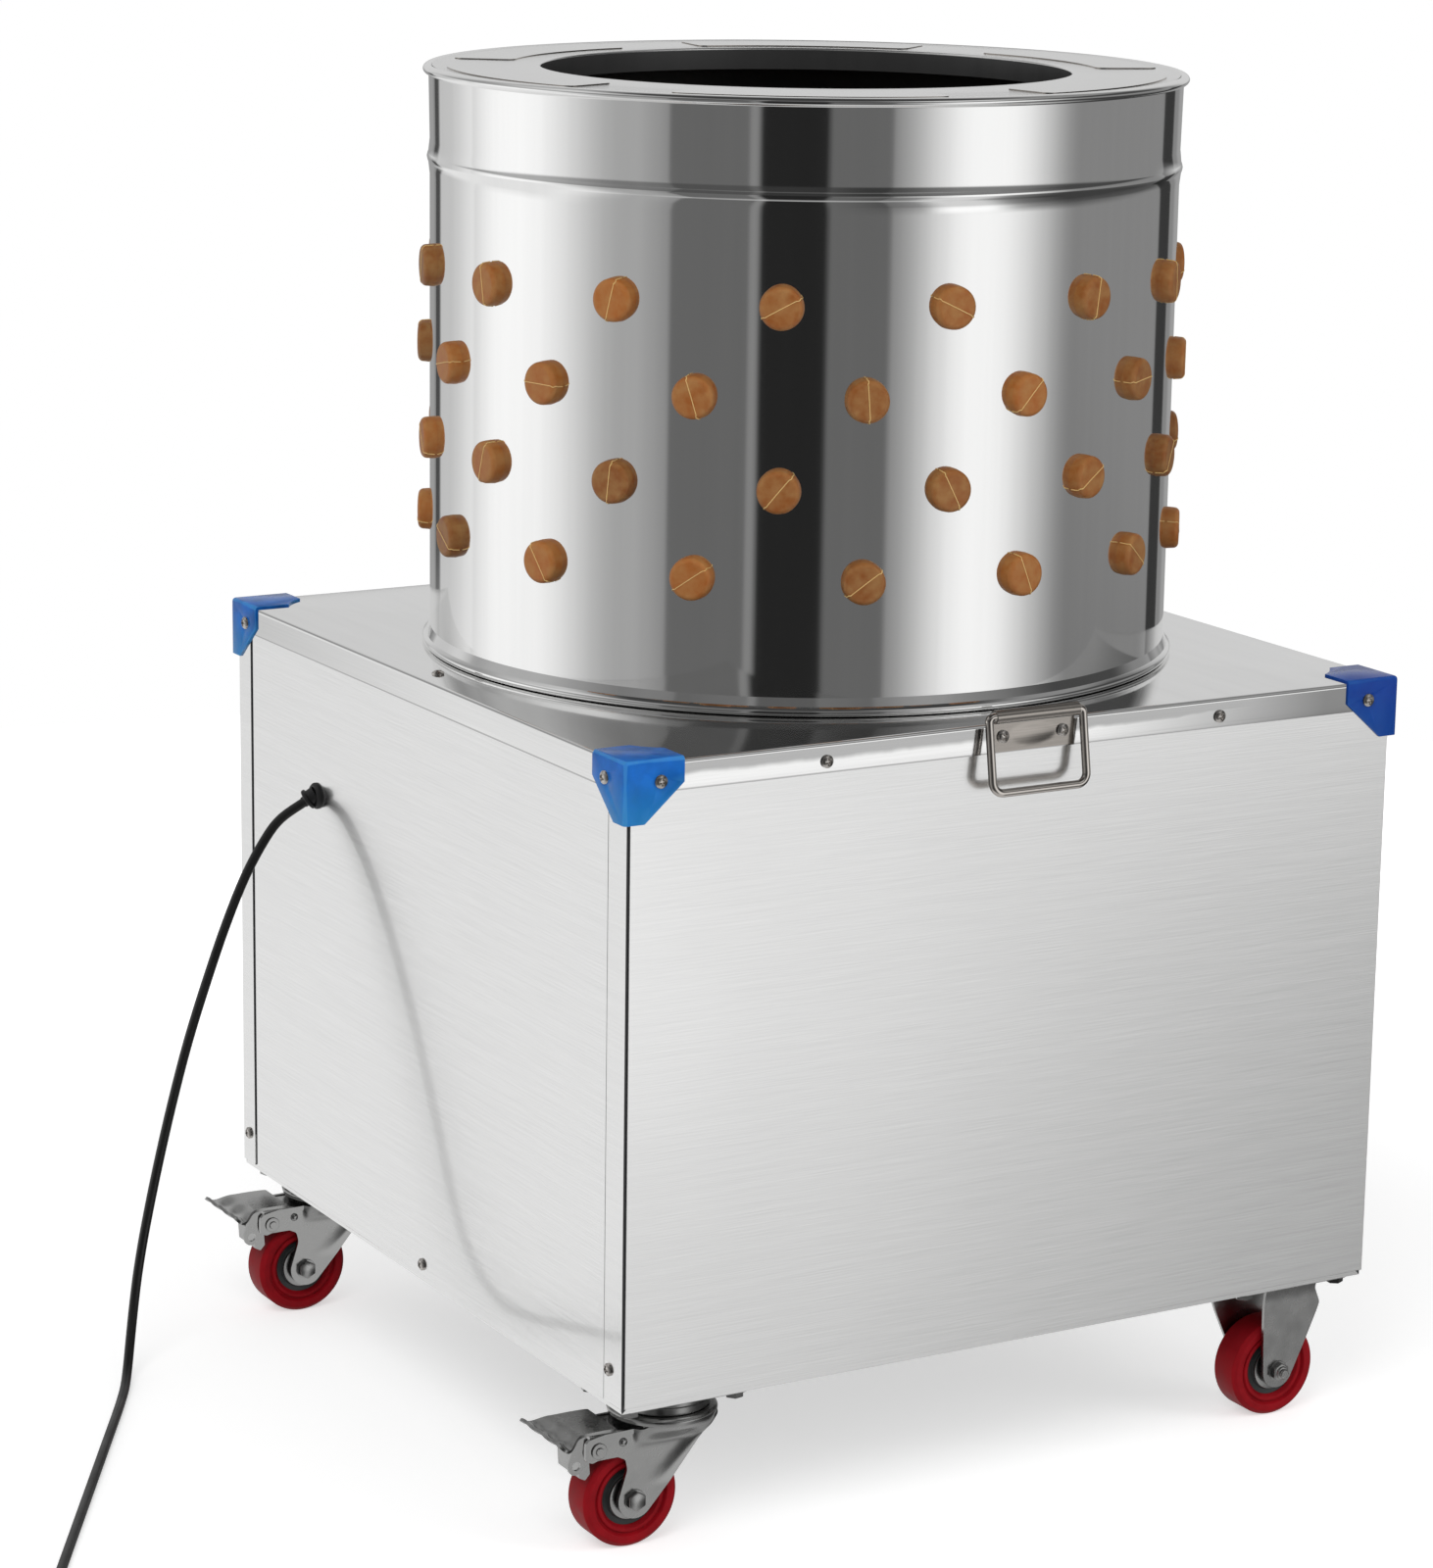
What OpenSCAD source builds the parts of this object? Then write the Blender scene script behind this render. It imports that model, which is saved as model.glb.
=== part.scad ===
// Poultry plucker: a steel drum lined with rubber fingers on a square sheet-steel cabinet with castors.
// Millimetres, +Z up, front towards -Y, origin on the floor under the drum's axis.

/* [Cabinet] */
// Width and depth over the panels
cab_w = 690; // [670:1:740]
// Height from the panels' lower edge to the top of the cabinet
cab_h = 495; // [480:1:540]
// Sheet thickness of the panels
panel_t = 1.2; // [0.8:0.1:1.5]
// Height of the skirt folded down round the top plate
skirt_h = 23; // [20:1:30]
// Sheet thickness of the top plate
plate_t = 1.5; // [1:0.1:2]
// How far the frame stands below the panels' lower edge
frame_drop = 4; // [2:1:8]
// Leg of the frame's angle bars
angle_w = 30; // [26:1:34]
// Thickness of the frame's bars
angle_t = 3; // [2:0.5:4]
// Width of the strip that the back panel folds round the sides
wrap_w = 23; // [18:1:30]
// Height of the feather outlet in the back panel
outlet_h = 64; // [58:1:80]

/* [Corner guards] */
// Length of a guard along each edge of the cabinet
guard_w = 50; // [44:1:56]
// Height of a guard
guard_h = 48; // [42:1:54]
// Wall of a guard
guard_t = 3; // [2:0.5:4]
// Width that is left at a guard's lower end
guard_tip = 14; // [10:1:18]

/* [Drum] */
// Outside diameter of the drum's wall
drum_d = 600; // [570:1:615]
// Height of the drum above the cabinet's top
drum_h = 466; // [450:1:500]
// Sheet thickness of the drum
drum_t = 1.5; // [1:0.1:2]
// Diameter of the mouth in the top ring
mouth_d = 424; // [380:1:428]
// Radius of the rolled rim
rim_r = 5; // [4:0.5:6]
// Radius of the rolled edge round the mouth
lip_r = 3.5; // [2.5:0.5:4.5]
// Depth of the lip that turns down inside the mouth
lip_h = 14; // [10:1:20]
// Distance of the pressed bead below the rim's top
bead_drop = 71; // [60:1:85]

/* [Fingers] */
// Number of fingers in a row round the drum
finger_count = 14; // [12:1:14]
// Angle between two fingers in a row
finger_step = 24.8; // [22:0.1:25]
// Height of the lowest row above the cabinet's top
finger_low = 103.5; // [100:0.5:120]
// Distance between two rows
finger_rise = 69; // [60:0.5:72]
// Diameter of a finger's head
head_d = 34; // [30:1:36]
// Thickness of a finger's head
head_t = 10; // [8:0.5:12]
// Diameter of the neck in its hole
neck_d = 20; // [16:1:22]
// Length of a finger from the sheet to its tip
finger_len = 82; // [70:1:84]
// Diameter of a finger at its root
root_d = 25; // [23:1:27]
// Diameter of a finger at its tip
tip_d = 16; // [12:1:18]

/* [Turntable and drive] */
// Width of the gap round the turntable that feathers fall through
feather_gap = 12; // [8:1:16]
// Width of the drum's floor ring that the gap starts from
floor_ring = 10; // [8:1:14]
// Thickness of the turntable
disc_t = 4; // [3:0.5:6]
// Depth of the turntable's face below the cabinet's top
disc_sink = 8; // [6:1:12]
// Diameter of the drive shaft
shaft_d = 35; // [30:1:40]
// Radius of the large pulley to the floor of its groove
drive_r = 122; // [110:1:126]
// Radius of the motor pulley to the floor of its groove
motor_r = 25; // [22:1:30]
// Distance from the drive shaft to the motor shaft
belt_reach = 205; // [195:1:215]
// Thickness of the belt
belt_t = 8; // [6:0.5:9]
// Width of the belt
belt_w = 13; // [10:1:15]
// Radius of the motor's body
motor_body_r = 75; // [65:1:80]
// Length of the motor's body
motor_len = 144; // [120:1:150]
// Diameter of the motor shaft
motor_shaft_d = 16; // [14:1:19]

/* [Castors] */
// Height from the floor to the top of a castor's plate
castor_h = 121.5; // [119:0.5:130]
// Wheel diameter
wheel_d = 80; // [76:1:81]
// Wheel width
wheel_w = 31; // [28:1:33]
// Distance of the castors' centres from the cabinet's sides
castor_in_x = 61; // [58:1:70]
// Distance of the castors' centres from the cabinet's front and back
castor_in_y = 47; // [44:1:52]
// How far a swivel wheel trails behind its kingpin
trail = 34; // [30:1:36]
// Length of a castor's plate
foot_l = 108; // [106:1:114]
// Width of a castor's plate
foot_w = 80; // [78:1:84]
// Thickness of a castor's plate
foot_t = 3; // [2:0.5:4]
// Distance between a plate's bolts along its length
bolt_l = 91; // [88:1:92]
// Distance between a plate's bolts across its width
bolt_w = 62; // [58:1:62]
// Diameter of the castor bolts and axles
bolt_d = 8; // [6:0.5:8]
// Reach of the brake pedal from the kingpin
pedal_reach = 105; // [102:1:110]
// Width of the brake pedal
pedal_w = 74; // [66:1:80]

/* [Handles] */
// Sideways offset of the handles from the middle
handle_x = 3; // [-20:1:20]
// Width of a handle's plate
handle_w = 75; // [70:1:90]
// Diameter of the bail's rod
bail_d = 6.5; // [5:0.5:7]
// Distance from the bail's pivot to its grip
bail_len = 58; // [50:1:64]
// Angle at which the bail rests on its plate
bail_tilt = 9; // [6:1:14]

/* [Switch and cord] */
// Depth of the switch box on the right panel
box_d = 35; // [34:1:45]
// Width of the switch box
box_w = 90; // [80:1:110]
// Height of the switch box
box_h = 130; // [120:1:150]
// Diameter of the buttons
button_d = 22; // [18:1:28]
// How far the buttons stand out
button_out = 9; // [7:1:12]
// Distance of the cord gland behind the middle of the left panel
gland_y = 190; // [150:1:230]
// Distance of the cord gland below the cabinet's top
gland_drop = 137; // [120:1:160]
// Diameter of the mains cord
cord_d = 8; // [7:0.5:8]

/* [Hidden] */
$fn = 64;

// Clearances: press seat, running fit, free gap, seat under a loose sheet
seat = 0.02;
run = 0.05;
free = 0.5;
loose = 0.2;

// Levels and reaches of the cabinet
half = cab_w / 2;
sheet_in = half - panel_t;
frame_out = sheet_in - loose;
panel_z = castor_h + frame_drop;
top_z = panel_z + cab_h;
plate_z = top_z - plate_t;
skirt_out = half + loose + plate_t + 0.3;
skirt_in = skirt_out - plate_t;
skirt_z = top_z - skirt_h;
panel_top = plate_z - loose;
corner_gap = 1.5;
front_half = half - panel_t - corner_gap;
rail_h = 30;
rail_room = 2.5;
mid_rail_rise = 203;
mid_rail_h = angle_w - 5;
mid_rail_z = panel_z + mid_rail_rise;
bridge_z = mid_rail_z + mid_rail_h;

// Levels of the drum
drum_r = drum_d / 2;
drum_in = drum_r - drum_t;
rim_z = top_z + drum_h - rim_r;
bead_out = 3;
bead_half = 12;
bead_r = (bead_half * bead_half + bead_out * bead_out) / (2 * bead_out);
base_roll_r = 4.5;
hole_r = drum_r - floor_ring;
mouth_r = mouth_d / 2;
ring_z = rim_z - 0.8;
sector_half = 21.5;
sector_in = 26;
sector_edge = 10;
sector_rise = 0.8;
row_phase = -123.6;

// Levels of the turntable and drive
disc_r = hole_r - feather_gap;
disc_z = top_z - disc_sink - disc_t;
shaft_r = shaft_d / 2;
hub_flange_t = 10;
hub_flange_r = shaft_r + 50;
hub_boss_r = shaft_r + 17;
hub_h = 46;
bridge_h = 50;
bridge_w = 80;
bridge_t = 4;
cross_half = frame_out - angle_t - loose;
bearing_t = 25;
bearing_w = 84;
groove_side = 5;
pulley_h = belt_w + 2 * groove_side + 2 * free;
pulley_gap = 8;
pulley_top = bridge_z - bearing_t - pulley_gap;
pulley_mid = pulley_top - pulley_h / 2;
shaft_nut_t = 8;
shaft_end = pulley_top - pulley_h - shaft_nut_t;
motor_plate_t = 6;
motor_base = bridge_z + motor_plate_t;
motor_shaft_r = motor_shaft_d / 2;
motor_edge = 10;
motor_plate_w = 2 * (motor_body_r + motor_edge);
motor_flange_t = 8;
motor_cap_h = 30;

// Feather tray: its floor falls from the front panel to the outlet
tray_t = 1.2;
tray_half = half - 45;
tray_front_z = top_z - 57;
tray_fall = 12;
tray_wall = 36;
tray_lip = 11;
tray_z = function (y) tray_front_z - (y + frame_out) * tan(tray_fall);
outlet_z = tray_z(half) - tray_t - loose;
outlet_half = tray_half + 4;

// Screws: pan heads, listed as side, place along that side and height
screw_d = 4;
screw_head_d = 10;
screw_head_t = 3.6;
screw_len = 9;
screw_hole_d = screw_d + 0.3;
skirt_screw_u = 178;
guard_screw_in = 27;
screw_z = top_z - 14;
lower_screw_z = panel_z + 26;
sill_screw_z = panel_z + 11;
handle_screw_u = 27;
sides = [0, 90, 180, 270];
skirt_screws = [for (a = [0, 180]) for (u = [-skirt_screw_u, skirt_screw_u]) [a, u, screw_z]];
guard_screws = [for (a = sides) for (s = [-1, 1]) [a, s * (skirt_out - guard_screw_in), screw_z]];
side_screws = [for (a = [90, 270]) for (p = [[-half + 20, lower_screw_z], [-8, sill_screw_z],
    [half - wrap_w / 2, lower_screw_z]]) [a, (a == 90 ? 1 : -1) * p[0], p[1]]];
handle_screws = [for (a = [0, 180]) for (s = [-1, 1])
    [a, (a == 0 ? 1 : -1) * handle_x + s * handle_screw_u, top_z - 10]];
plate_screw_r = drum_r + 27;

// Handles: plate on the skirt with a rolled barrel, bail hung in the barrel
hinge_t = 1.5;
barrel_r = bail_d / 2 + 2.2;
barrel_half = handle_w / 2 - 0.5;
barrel_y = skirt_out + barrel_r;
barrel_z = top_z + barrel_r + 1.2;
bail_half = barrel_half + 5.5;
bail_bend = 4.5;
bail_corner = 9;
bail_pin = 13;

// Castor places and parts
castor_x = half - castor_in_x;
castor_y = half - castor_in_y;
swivel_places = [[-castor_x, -castor_y], [-castor_x, castor_y]];
rigid_places = [[castor_x, -castor_y], [castor_x, castor_y]];
foot_z = castor_h - foot_t;
wheel_r = wheel_d / 2;
leg_t = 3;
leg_in = wheel_w / 2 + 2;
leg_out = leg_in + leg_t;
crown_r = 41;
crown_t = 4;
crown_z = foot_z - 15;
cup_r = 37;
cup_z = crown_z + crown_t + free;
kingpin_r = 6;
rivet_r = 2.5;
axle_r = bolt_d / 2;
boss_r = 14;
pedal_ahead = 32;
pedal_over = 5.5;
hub_r = 23;
bolt_head_t = 5.3;
nut_t = 6.5;
bolt_across = bolt_d * 1.85;
rail_w = castor_in_y + bolt_w / 2 + bolt_across / 2 + angle_t + rail_room;
pedal_pivot = [-trail - pedal_ahead, wheel_d + pedal_over];
ear_t = 2.5;
ear_in = leg_out + 0.6;

// Switch box and cord
box_y = -140;
box_z = top_z - 118;
box_foot = 8;
button_gap = 52;
button_shank = 20;
gland_z = top_z - gland_drop;
gland_flange_r = 11;
gland_flange_t = 4;
nose_len = 9;
nose_dir = [-0.72, 0.36, -0.59];
cord_r = cord_d / 2;
nose_end = [-half - gland_flange_t, gland_y, gland_z] + nose_len * nose_dir / norm(nose_dir);

// Route of the free cord from the gland's nose to the floor and on to the coil
cord_route = [[-372, 202, 464.5], [-384, 207, 447.5], [-400, 212, 416.5], [-416, 216, 376.5],
    [-432, 220, 329.5], [-448, 224, 277.5], [-462, 227, 224.5], [-475, 229, 170.5], [-486, 230, 120.5],
    [-494, 228, 84.5], [-501, 222, 56.5], [-509, 211, 32.5], [-519, 194, 13], [-531, 171, 5],
    [-545, 145, 4], [-560, 118, 4], [-576, 90, 4], [-592, 62, 4], [-608, 34, 4], [-624, 6, 4],
    [-640, -22, 4], [-656, -50, 4], [-672, -78, 4], [-688, -106, 4], [-704, -134, 4], [-720, -162, 4],
    [-736, -190, 4], [-752, -218, 4], [-764, -239, 4]];

// Coil of the spare cord: in on the floor, up half a turn, and out again on the first layer
coil_turns = 1.5;
coil_out = 50;
coil_step = cord_d + 0.8;
coil_rings = 24;
coil_straight = 10;
boot_len = 26;
plug_len = 34;
plug_r = 12;

function unit(v) = v / norm(v);
function smooth(t) = t * t * (3 - 2 * t);

// Colours of the finishes
steel = [0.80, 0.81, 0.82];
bright = [0.72, 0.73, 0.75];
zinc = [0.62, 0.63, 0.65];
blue = [0.07, 0.33, 0.75];
tan_rubber = [0.68, 0.45, 0.18];
red = [0.70, 0.06, 0.10];
dark = [0.14, 0.15, 0.16];
iron = [0.32, 0.34, 0.36];

module ring(h, ro, ri) {
    difference() {
        cylinder(h = h, r = ro);
        translate([0, 0, -1]) cylinder(h = h + 2, r = ri);
    }
}

module roll(radius, r) {
    rotate_extrude() translate([radius, 0]) circle(r = r);
}

module block(x0, x1, y0, y1, z0, z1) {
    translate([x0, y0, z0]) cube([x1 - x0, y1 - y0, z1 - z0]);
}

// A shape drawn in the X-Z plane, as thick as y1 - y0
module upright(y0, y1) {
    translate([0, y1, 0]) rotate([90, 0, 0]) linear_extrude(y1 - y0) children();
}

// A cylinder along +Y from y0 to y1
module bar_y(y0, y1, r) {
    translate([0, y0, 0]) rotate([-90, 0, 0]) cylinder(h = y1 - y0, r = r);
}

// Turns +Z to a direction
module aim(d) {
    rotate([0, acos(d.z / norm(d)), atan2(d.y, d.x)]) children();
}

// Places a child drawn for the front at each listed screw: its face at y = 0, outwards along -Y
module at_screws(list, out) {
    for (s = list) rotate([0, 0, s[0]]) translate([s[1], -out, s[2]]) children();
}

module screw() {
    rotate([90, 0, 0]) {
        difference() {
            intersection() {
                cylinder(h = screw_head_t, r = screw_head_d / 2);
                translate([0, 0, -3.4]) sphere(r = 7);
            }
            for (a = [0, 90]) rotate([0, 0, a])
                translate([-2.6, -0.5, screw_head_t - 1.8]) cube([5.2, 1, 3]);
        }
        translate([0, 0, -screw_len]) cylinder(h = screw_len + 0.5, r = screw_d / 2);
    }
}

module screw_bore() {
    rotate([90, 0, 0]) translate([0, 0, -screw_len - 1]) cylinder(h = screw_len + 8, r = screw_hole_d / 2);
}

module all_bores() {
    at_screws(concat(skirt_screws, guard_screws), skirt_out) screw_bore();
    at_screws(side_screws, half) screw_bore();
    at_screws(handle_screws, skirt_out) screw_bore();
}

module at_plate_screws() {
    for (a = sides) rotate([0, 0, a]) translate([plate_screw_r, 0, top_z]) rotate([-90, 0, 0]) children();
}

// Cabinet

module angle_post() {
    difference() {
        block(-frame_out, -frame_out + angle_w, -frame_out, -frame_out + angle_w, castor_h, panel_top);
        block(-frame_out + angle_t, half, -frame_out + angle_t, half, castor_h - 1, top_z);
    }
}

module top_rail() {
    block(-frame_out, frame_out, -frame_out, -frame_out + angle_w, panel_top - angle_t, panel_top);
    block(-frame_out, frame_out, -frame_out, -frame_out + angle_t, panel_top - angle_w, panel_top);
}

module castor_rail() {
    difference() {
        block(-frame_out, frame_out, -frame_out, -frame_out + rail_w, castor_h, castor_h + rail_h);
        block(-half, half, -frame_out + angle_t, -frame_out + rail_w - angle_t, castor_h + angle_t, top_z);
    }
}

module side_rail() {
    block(-frame_out, -frame_out + angle_w, -frame_out, frame_out, castor_h, castor_h + angle_t);
    block(-frame_out, -frame_out + angle_t, -frame_out, frame_out, castor_h, castor_h + rail_h);
    block(-frame_out, -frame_out + angle_t, -frame_out, frame_out, mid_rail_z, bridge_z);
    block(-frame_out, -frame_out + angle_w, -frame_out, frame_out, bridge_z - angle_t, bridge_z);
}

module base_frame() {
    color(zinc) difference() {
        union() {
            for (mx = [0, 1]) mirror([mx, 0, 0]) {
                side_rail();
                for (my = [0, 1]) mirror([0, my, 0]) angle_post();
            }
            for (my = [0, 1]) mirror([0, my, 0]) castor_rail();
            for (a = [0, 180]) rotate([0, 0, a]) top_rail();
            for (a = [90, 270]) rotate([0, 0, a]) top_rail();
        }
        foot_bores();
        all_bores();
        at_plate_screws() screw_bore();
    }
}

module front_panel() {
    color(steel) difference() {
        block(-front_half, front_half, -half, -sheet_in, panel_z, panel_top);
        all_bores();
    }
}

module back_panel() {
    color(steel) difference() {
        union() {
            block(-half, half, sheet_in, half, panel_z, panel_top);
            for (mx = [0, 1]) mirror([mx, 0, 0])
                block(sheet_in, half, half - wrap_w, half, panel_z, panel_top);
        }
        block(-outlet_half, outlet_half, 0, cab_w, outlet_z, outlet_z + outlet_h);
        all_bores();
    }
}

module side_panel() {
    difference() {
        block(-half, -sheet_in, -half, half - wrap_w - corner_gap, panel_z, panel_top);
        all_bores();
    }
}

module left_panel() {
    color(steel) difference() {
        side_panel();
        gland_bore();
    }
}

module right_panel() {
    color(steel) mirror([1, 0, 0]) side_panel();
}

module top_plate() {
    color(bright) difference() {
        block(-skirt_out, skirt_out, -skirt_out, skirt_out, skirt_z, top_z);
        block(-skirt_in, skirt_in, -skirt_in, skirt_in, 0, plate_z);
        cylinder(h = 2 * top_z, r = hole_r);
        all_bores();
        at_plate_screws() screw_bore();
    }
}

// Corner guard for the front left corner
module guard_side() {
    reach = guard_w - guard_t;
    polygon([[-guard_t, guard_t], [reach, guard_t], [reach, -16], [guard_tip, guard_t - guard_h],
        [-guard_t, guard_t - guard_h]]);
}

module corner_guard() {
    reach = guard_w - guard_t;
    difference() {
        translate([-skirt_out, -skirt_out, top_z]) {
            upright(-guard_t, 0) guard_side();
            rotate([0, 0, 90]) mirror([0, 1, 0]) upright(-guard_t, 0) guard_side();
            difference() {
                block(-guard_t, reach, -guard_t, reach, 0, guard_t);
                translate([reach + 26, reach + 26, -1]) cylinder(h = guard_t + 2, r = 52);
            }
        }
        all_bores();
    }
}

module guard_at(mx, my) {
    color(blue) mirror([mx, 0, 0]) mirror([0, my, 0]) corner_guard();
}

module sheet_screws() {
    color(iron) {
        at_screws(skirt_screws, skirt_out) screw();
        at_screws(guard_screws, skirt_out + guard_t) screw();
        at_screws(side_screws, half) screw();
        at_screws(handle_screws, skirt_out + hinge_t) screw();
        at_plate_screws() screw();
    }
}

// Handles

module handle_plate() {
    color(steel) difference() {
        union() {
            block(handle_x - handle_w / 2, handle_x + handle_w / 2, -skirt_out - hinge_t, -skirt_out,
                skirt_z + 1, barrel_z);
            translate([handle_x - barrel_half, -barrel_y, barrel_z]) rotate([0, 90, 0])
                cylinder(h = 2 * barrel_half, r = barrel_r);
        }
        translate([handle_x - handle_w, -barrel_y, barrel_z]) rotate([0, 90, 0])
            cylinder(h = 2 * handle_w, r = bail_d / 2 + run);
        all_bores();
    }
}

// A quarter of a bent rod in the X-Z plane, from +X round to +Z
module bend(radius) {
    rotate([90, 0, 0]) rotate_extrude(angle = 90) translate([radius, 0]) circle(r = bail_d / 2);
}

module half_bail() {
    r = bail_d / 2;
    translate([bail_half - bail_bend - bail_pin, 0, 0]) rotate([0, 90, 0]) cylinder(h = bail_pin, r = r);
    translate([bail_half - bail_bend, 0, -bail_bend]) bend(bail_bend);
    translate([bail_half, 0, bail_corner - bail_len]) cylinder(h = bail_len - bail_corner - bail_bend, r = r);
    translate([bail_half - bail_corner, 0, bail_corner - bail_len]) mirror([0, 0, 1]) bend(bail_corner);
    translate([-1, 0, -bail_len]) rotate([0, 90, 0]) cylinder(h = bail_half - bail_corner + 1, r = r);
}

module handle_bail() {
    color(steel) translate([handle_x, -barrel_y, barrel_z]) rotate([-bail_tilt, 0, 0]) {
        half_bail();
        mirror([1, 0, 0]) half_bail();
    }
}

// Drum

module at_row(row) {
    stagger = row % 2 == 0 ? finger_step / 2 : 0;
    first = floor(finger_count / 2) - 1;
    for (k = [0 : finger_count - 1])
        rotate([0, 0, row_phase - stagger + (k - first + (row % 2 == 0 ? 1 : 0)) * finger_step])
            translate([drum_r, 0, top_z + finger_low + (4 - row) * finger_rise])
                rotate([0, -90, 0]) children();
}

// A rubber finger along +Z: its head lies below z = 0, the sheet above
module finger(sheet) {
    shoulder = sheet + 0.5;
    rotate_extrude() polygon([[0, -head_t], [head_d / 2 - 2, -head_t], [head_d / 2, 2 - head_t],
        [head_d / 2, 0], [neck_d / 2 - seat, 0], [neck_d / 2 - seat, shoulder], [root_d / 2, shoulder],
        [root_d / 2, shoulder + 5], [root_d / 2 - 2, shoulder + 7], [tip_d / 2, finger_len - 4],
        [tip_d / 2 - 4, finger_len], [0, finger_len]]);
}

module drum_shell() {
    color(bright) difference() {
        union() {
            translate([0, 0, top_z]) cylinder(h = rim_z - top_z, r = drum_r);
            translate([0, 0, rim_z]) roll(drum_r, rim_r);
            translate([0, 0, top_z + drum_h - bead_drop]) roll(drum_r + bead_out - bead_r, bead_r);
            translate([0, 0, top_z + base_roll_r + 0.5]) roll(drum_r + 2, base_roll_r);
        }
        translate([0, 0, top_z + drum_t]) cylinder(h = drum_h + 50, r = drum_in);
        cylinder(h = 3 * top_z, r = hole_r);
        for (row = [1 : 4]) at_row(row) translate([0, 0, -6]) cylinder(h = 20, r = neck_d / 2);
    }
}

module sector_plate(a0, a1) {
    inner = mouth_r + sector_in;
    outer = drum_in - sector_edge;
    rotate([0, 0, a0]) rotate_extrude(angle = a1 - a0)
        translate([inner, ring_z]) square([outer - inner, drum_t + sector_rise]);
}

module drum_top_ring() {
    color(bright) {
        translate([0, 0, ring_z]) ring(drum_t, drum_in - loose, mouth_r);
        translate([0, 0, ring_z + drum_t - lip_h]) ring(lip_h, mouth_r + drum_t, mouth_r);
        translate([0, 0, ring_z + drum_t + 0.6]) roll(mouth_r + lip_r + 1, lip_r);
        for (k = [0 : 5]) sector_plate(60 * k - sector_half, 60 * k + sector_half);
    }
}

module finger_row(row) {
    color(tan_rubber) at_row(row) finger(drum_t);
}

// Turntable and drive

disc_rings = [[disc_r - 43, 14], [disc_r - 113, 10], [disc_r - 178, 6]];

module at_disc_fingers() {
    for (r = disc_rings) for (k = [0 : r[1] - 1])
        rotate([0, 0, k * 360 / r[1]]) translate([r[0], 0, disc_z]) children();
}

module feather_disc() {
    color(bright) difference() {
        translate([0, 0, disc_z]) cylinder(h = disc_t, r = disc_r);
        cylinder(h = 2 * top_z, r = shaft_r + seat);
        at_disc_fingers() translate([0, 0, -1]) cylinder(h = disc_t + 2, r = neck_d / 2);
    }
}

module disc_fingers() {
    color(tan_rubber) at_disc_fingers() finger(disc_t);
}

module disc_hub() {
    color(iron) difference() {
        union() {
            translate([0, 0, disc_z - hub_flange_t]) cylinder(h = hub_flange_t, r = hub_flange_r);
            translate([0, 0, disc_z - hub_h]) cylinder(h = hub_h, r = hub_boss_r);
        }
        cylinder(h = 2 * top_z, r = shaft_r + seat);
    }
}

module drive_shaft() {
    color(zinc) {
        translate([0, 0, shaft_end]) cylinder(h = disc_z + disc_t - shaft_end, r = shaft_r);
        translate([0, 0, disc_z + disc_t]) cylinder(h = 3, r = shaft_r + 8);
        translate([0, 0, disc_z + disc_t + 3]) cylinder(h = 12, r = shaft_r - 2, $fn = 6);
        translate([0, 0, shaft_end - shaft_nut_t]) cylinder(h = shaft_nut_t, r = shaft_r + 4, $fn = 6);
    }
}

// A grooved pulley: floor radius of the groove, bore radius
module pulley(floor_r, bore_r) {
    rim = floor_r + belt_t;
    translate([0, 0, pulley_top - pulley_h]) difference() {
        cylinder(h = pulley_h, r = rim);
        translate([0, 0, groove_side]) ring(belt_w + 2 * free, rim + 1, floor_r);
        translate([0, 0, -1]) cylinder(h = pulley_h + 2, r = bore_r);
    }
}

module drive_pulley() {
    color(iron) difference() {
        pulley(drive_r, shaft_r + seat);
        for (k = [0 : 4]) rotate([0, 0, 72 * k]) translate([drive_r * 0.55, 0, 0])
            cylinder(h = top_z, r = drive_r * 0.2);
    }
}

module shaft_bearing() {
    difference() {
        union() {
            block(-bearing_w / 2, bearing_w / 2, -bridge_w / 2, bridge_w / 2, 0, 9);
            cylinder(h = bearing_t, r = shaft_r + 16);
        }
        translate([0, 0, -1]) cylinder(h = bearing_t + 2, r = shaft_r + run);
    }
}

module shaft_bearings() {
    color(dark) {
        translate([0, 0, bridge_z + bridge_h]) shaft_bearing();
        translate([0, 0, bridge_z]) mirror([0, 0, 1]) shaft_bearing();
    }
}

module bearing_bridge() {
    wide = bridge_w / 2;
    hollow = wide - bridge_t;
    top = bridge_z + bridge_h;
    color(zinc) difference() {
        block(-cross_half, cross_half, -wide, wide, bridge_z, top);
        block(-half, half, -hollow, hollow, bridge_z + bridge_t, top - bridge_t);
        cylinder(h = top_z, r = shaft_r + 8);
    }
}

module motor_plate() {
    color(zinc) difference() {
        block(-cross_half, cross_half, -belt_reach - motor_plate_w / 2, -belt_reach + motor_plate_w / 2,
            bridge_z, motor_base);
        translate([0, -belt_reach, 0]) cylinder(h = top_z, r = motor_shaft_r + 14);
    }
}

module motor_body() {
    fins = 24;
    color(dark) translate([0, -belt_reach, motor_base]) difference() {
        union() {
            cylinder(h = motor_len - motor_flange_t, r = motor_body_r - 6);
            cylinder(h = motor_flange_t, r = motor_body_r);
            translate([0, 0, motor_len - motor_cap_h]) cylinder(h = motor_cap_h, r = motor_body_r - 2);
            for (k = [0 : fins - 1]) rotate([0, 0, k * 360 / fins])
                block(0, motor_body_r - 1, -1.5, 1.5, motor_flange_t / 2, motor_len - motor_cap_h / 2);
        }
        translate([0, 0, -1]) cylinder(h = motor_len - motor_cap_h / 2, r = motor_shaft_r + run);
    }
}

module motor_shaft() {
    color(zinc) translate([0, -belt_reach, pulley_top - pulley_h - 4])
        cylinder(h = motor_base + motor_len - motor_cap_h - pulley_top + pulley_h, r = motor_shaft_r);
}

module motor_pulley() {
    color(iron) translate([0, -belt_reach, 0]) pulley(motor_r, motor_shaft_r + seat);
}

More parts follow.
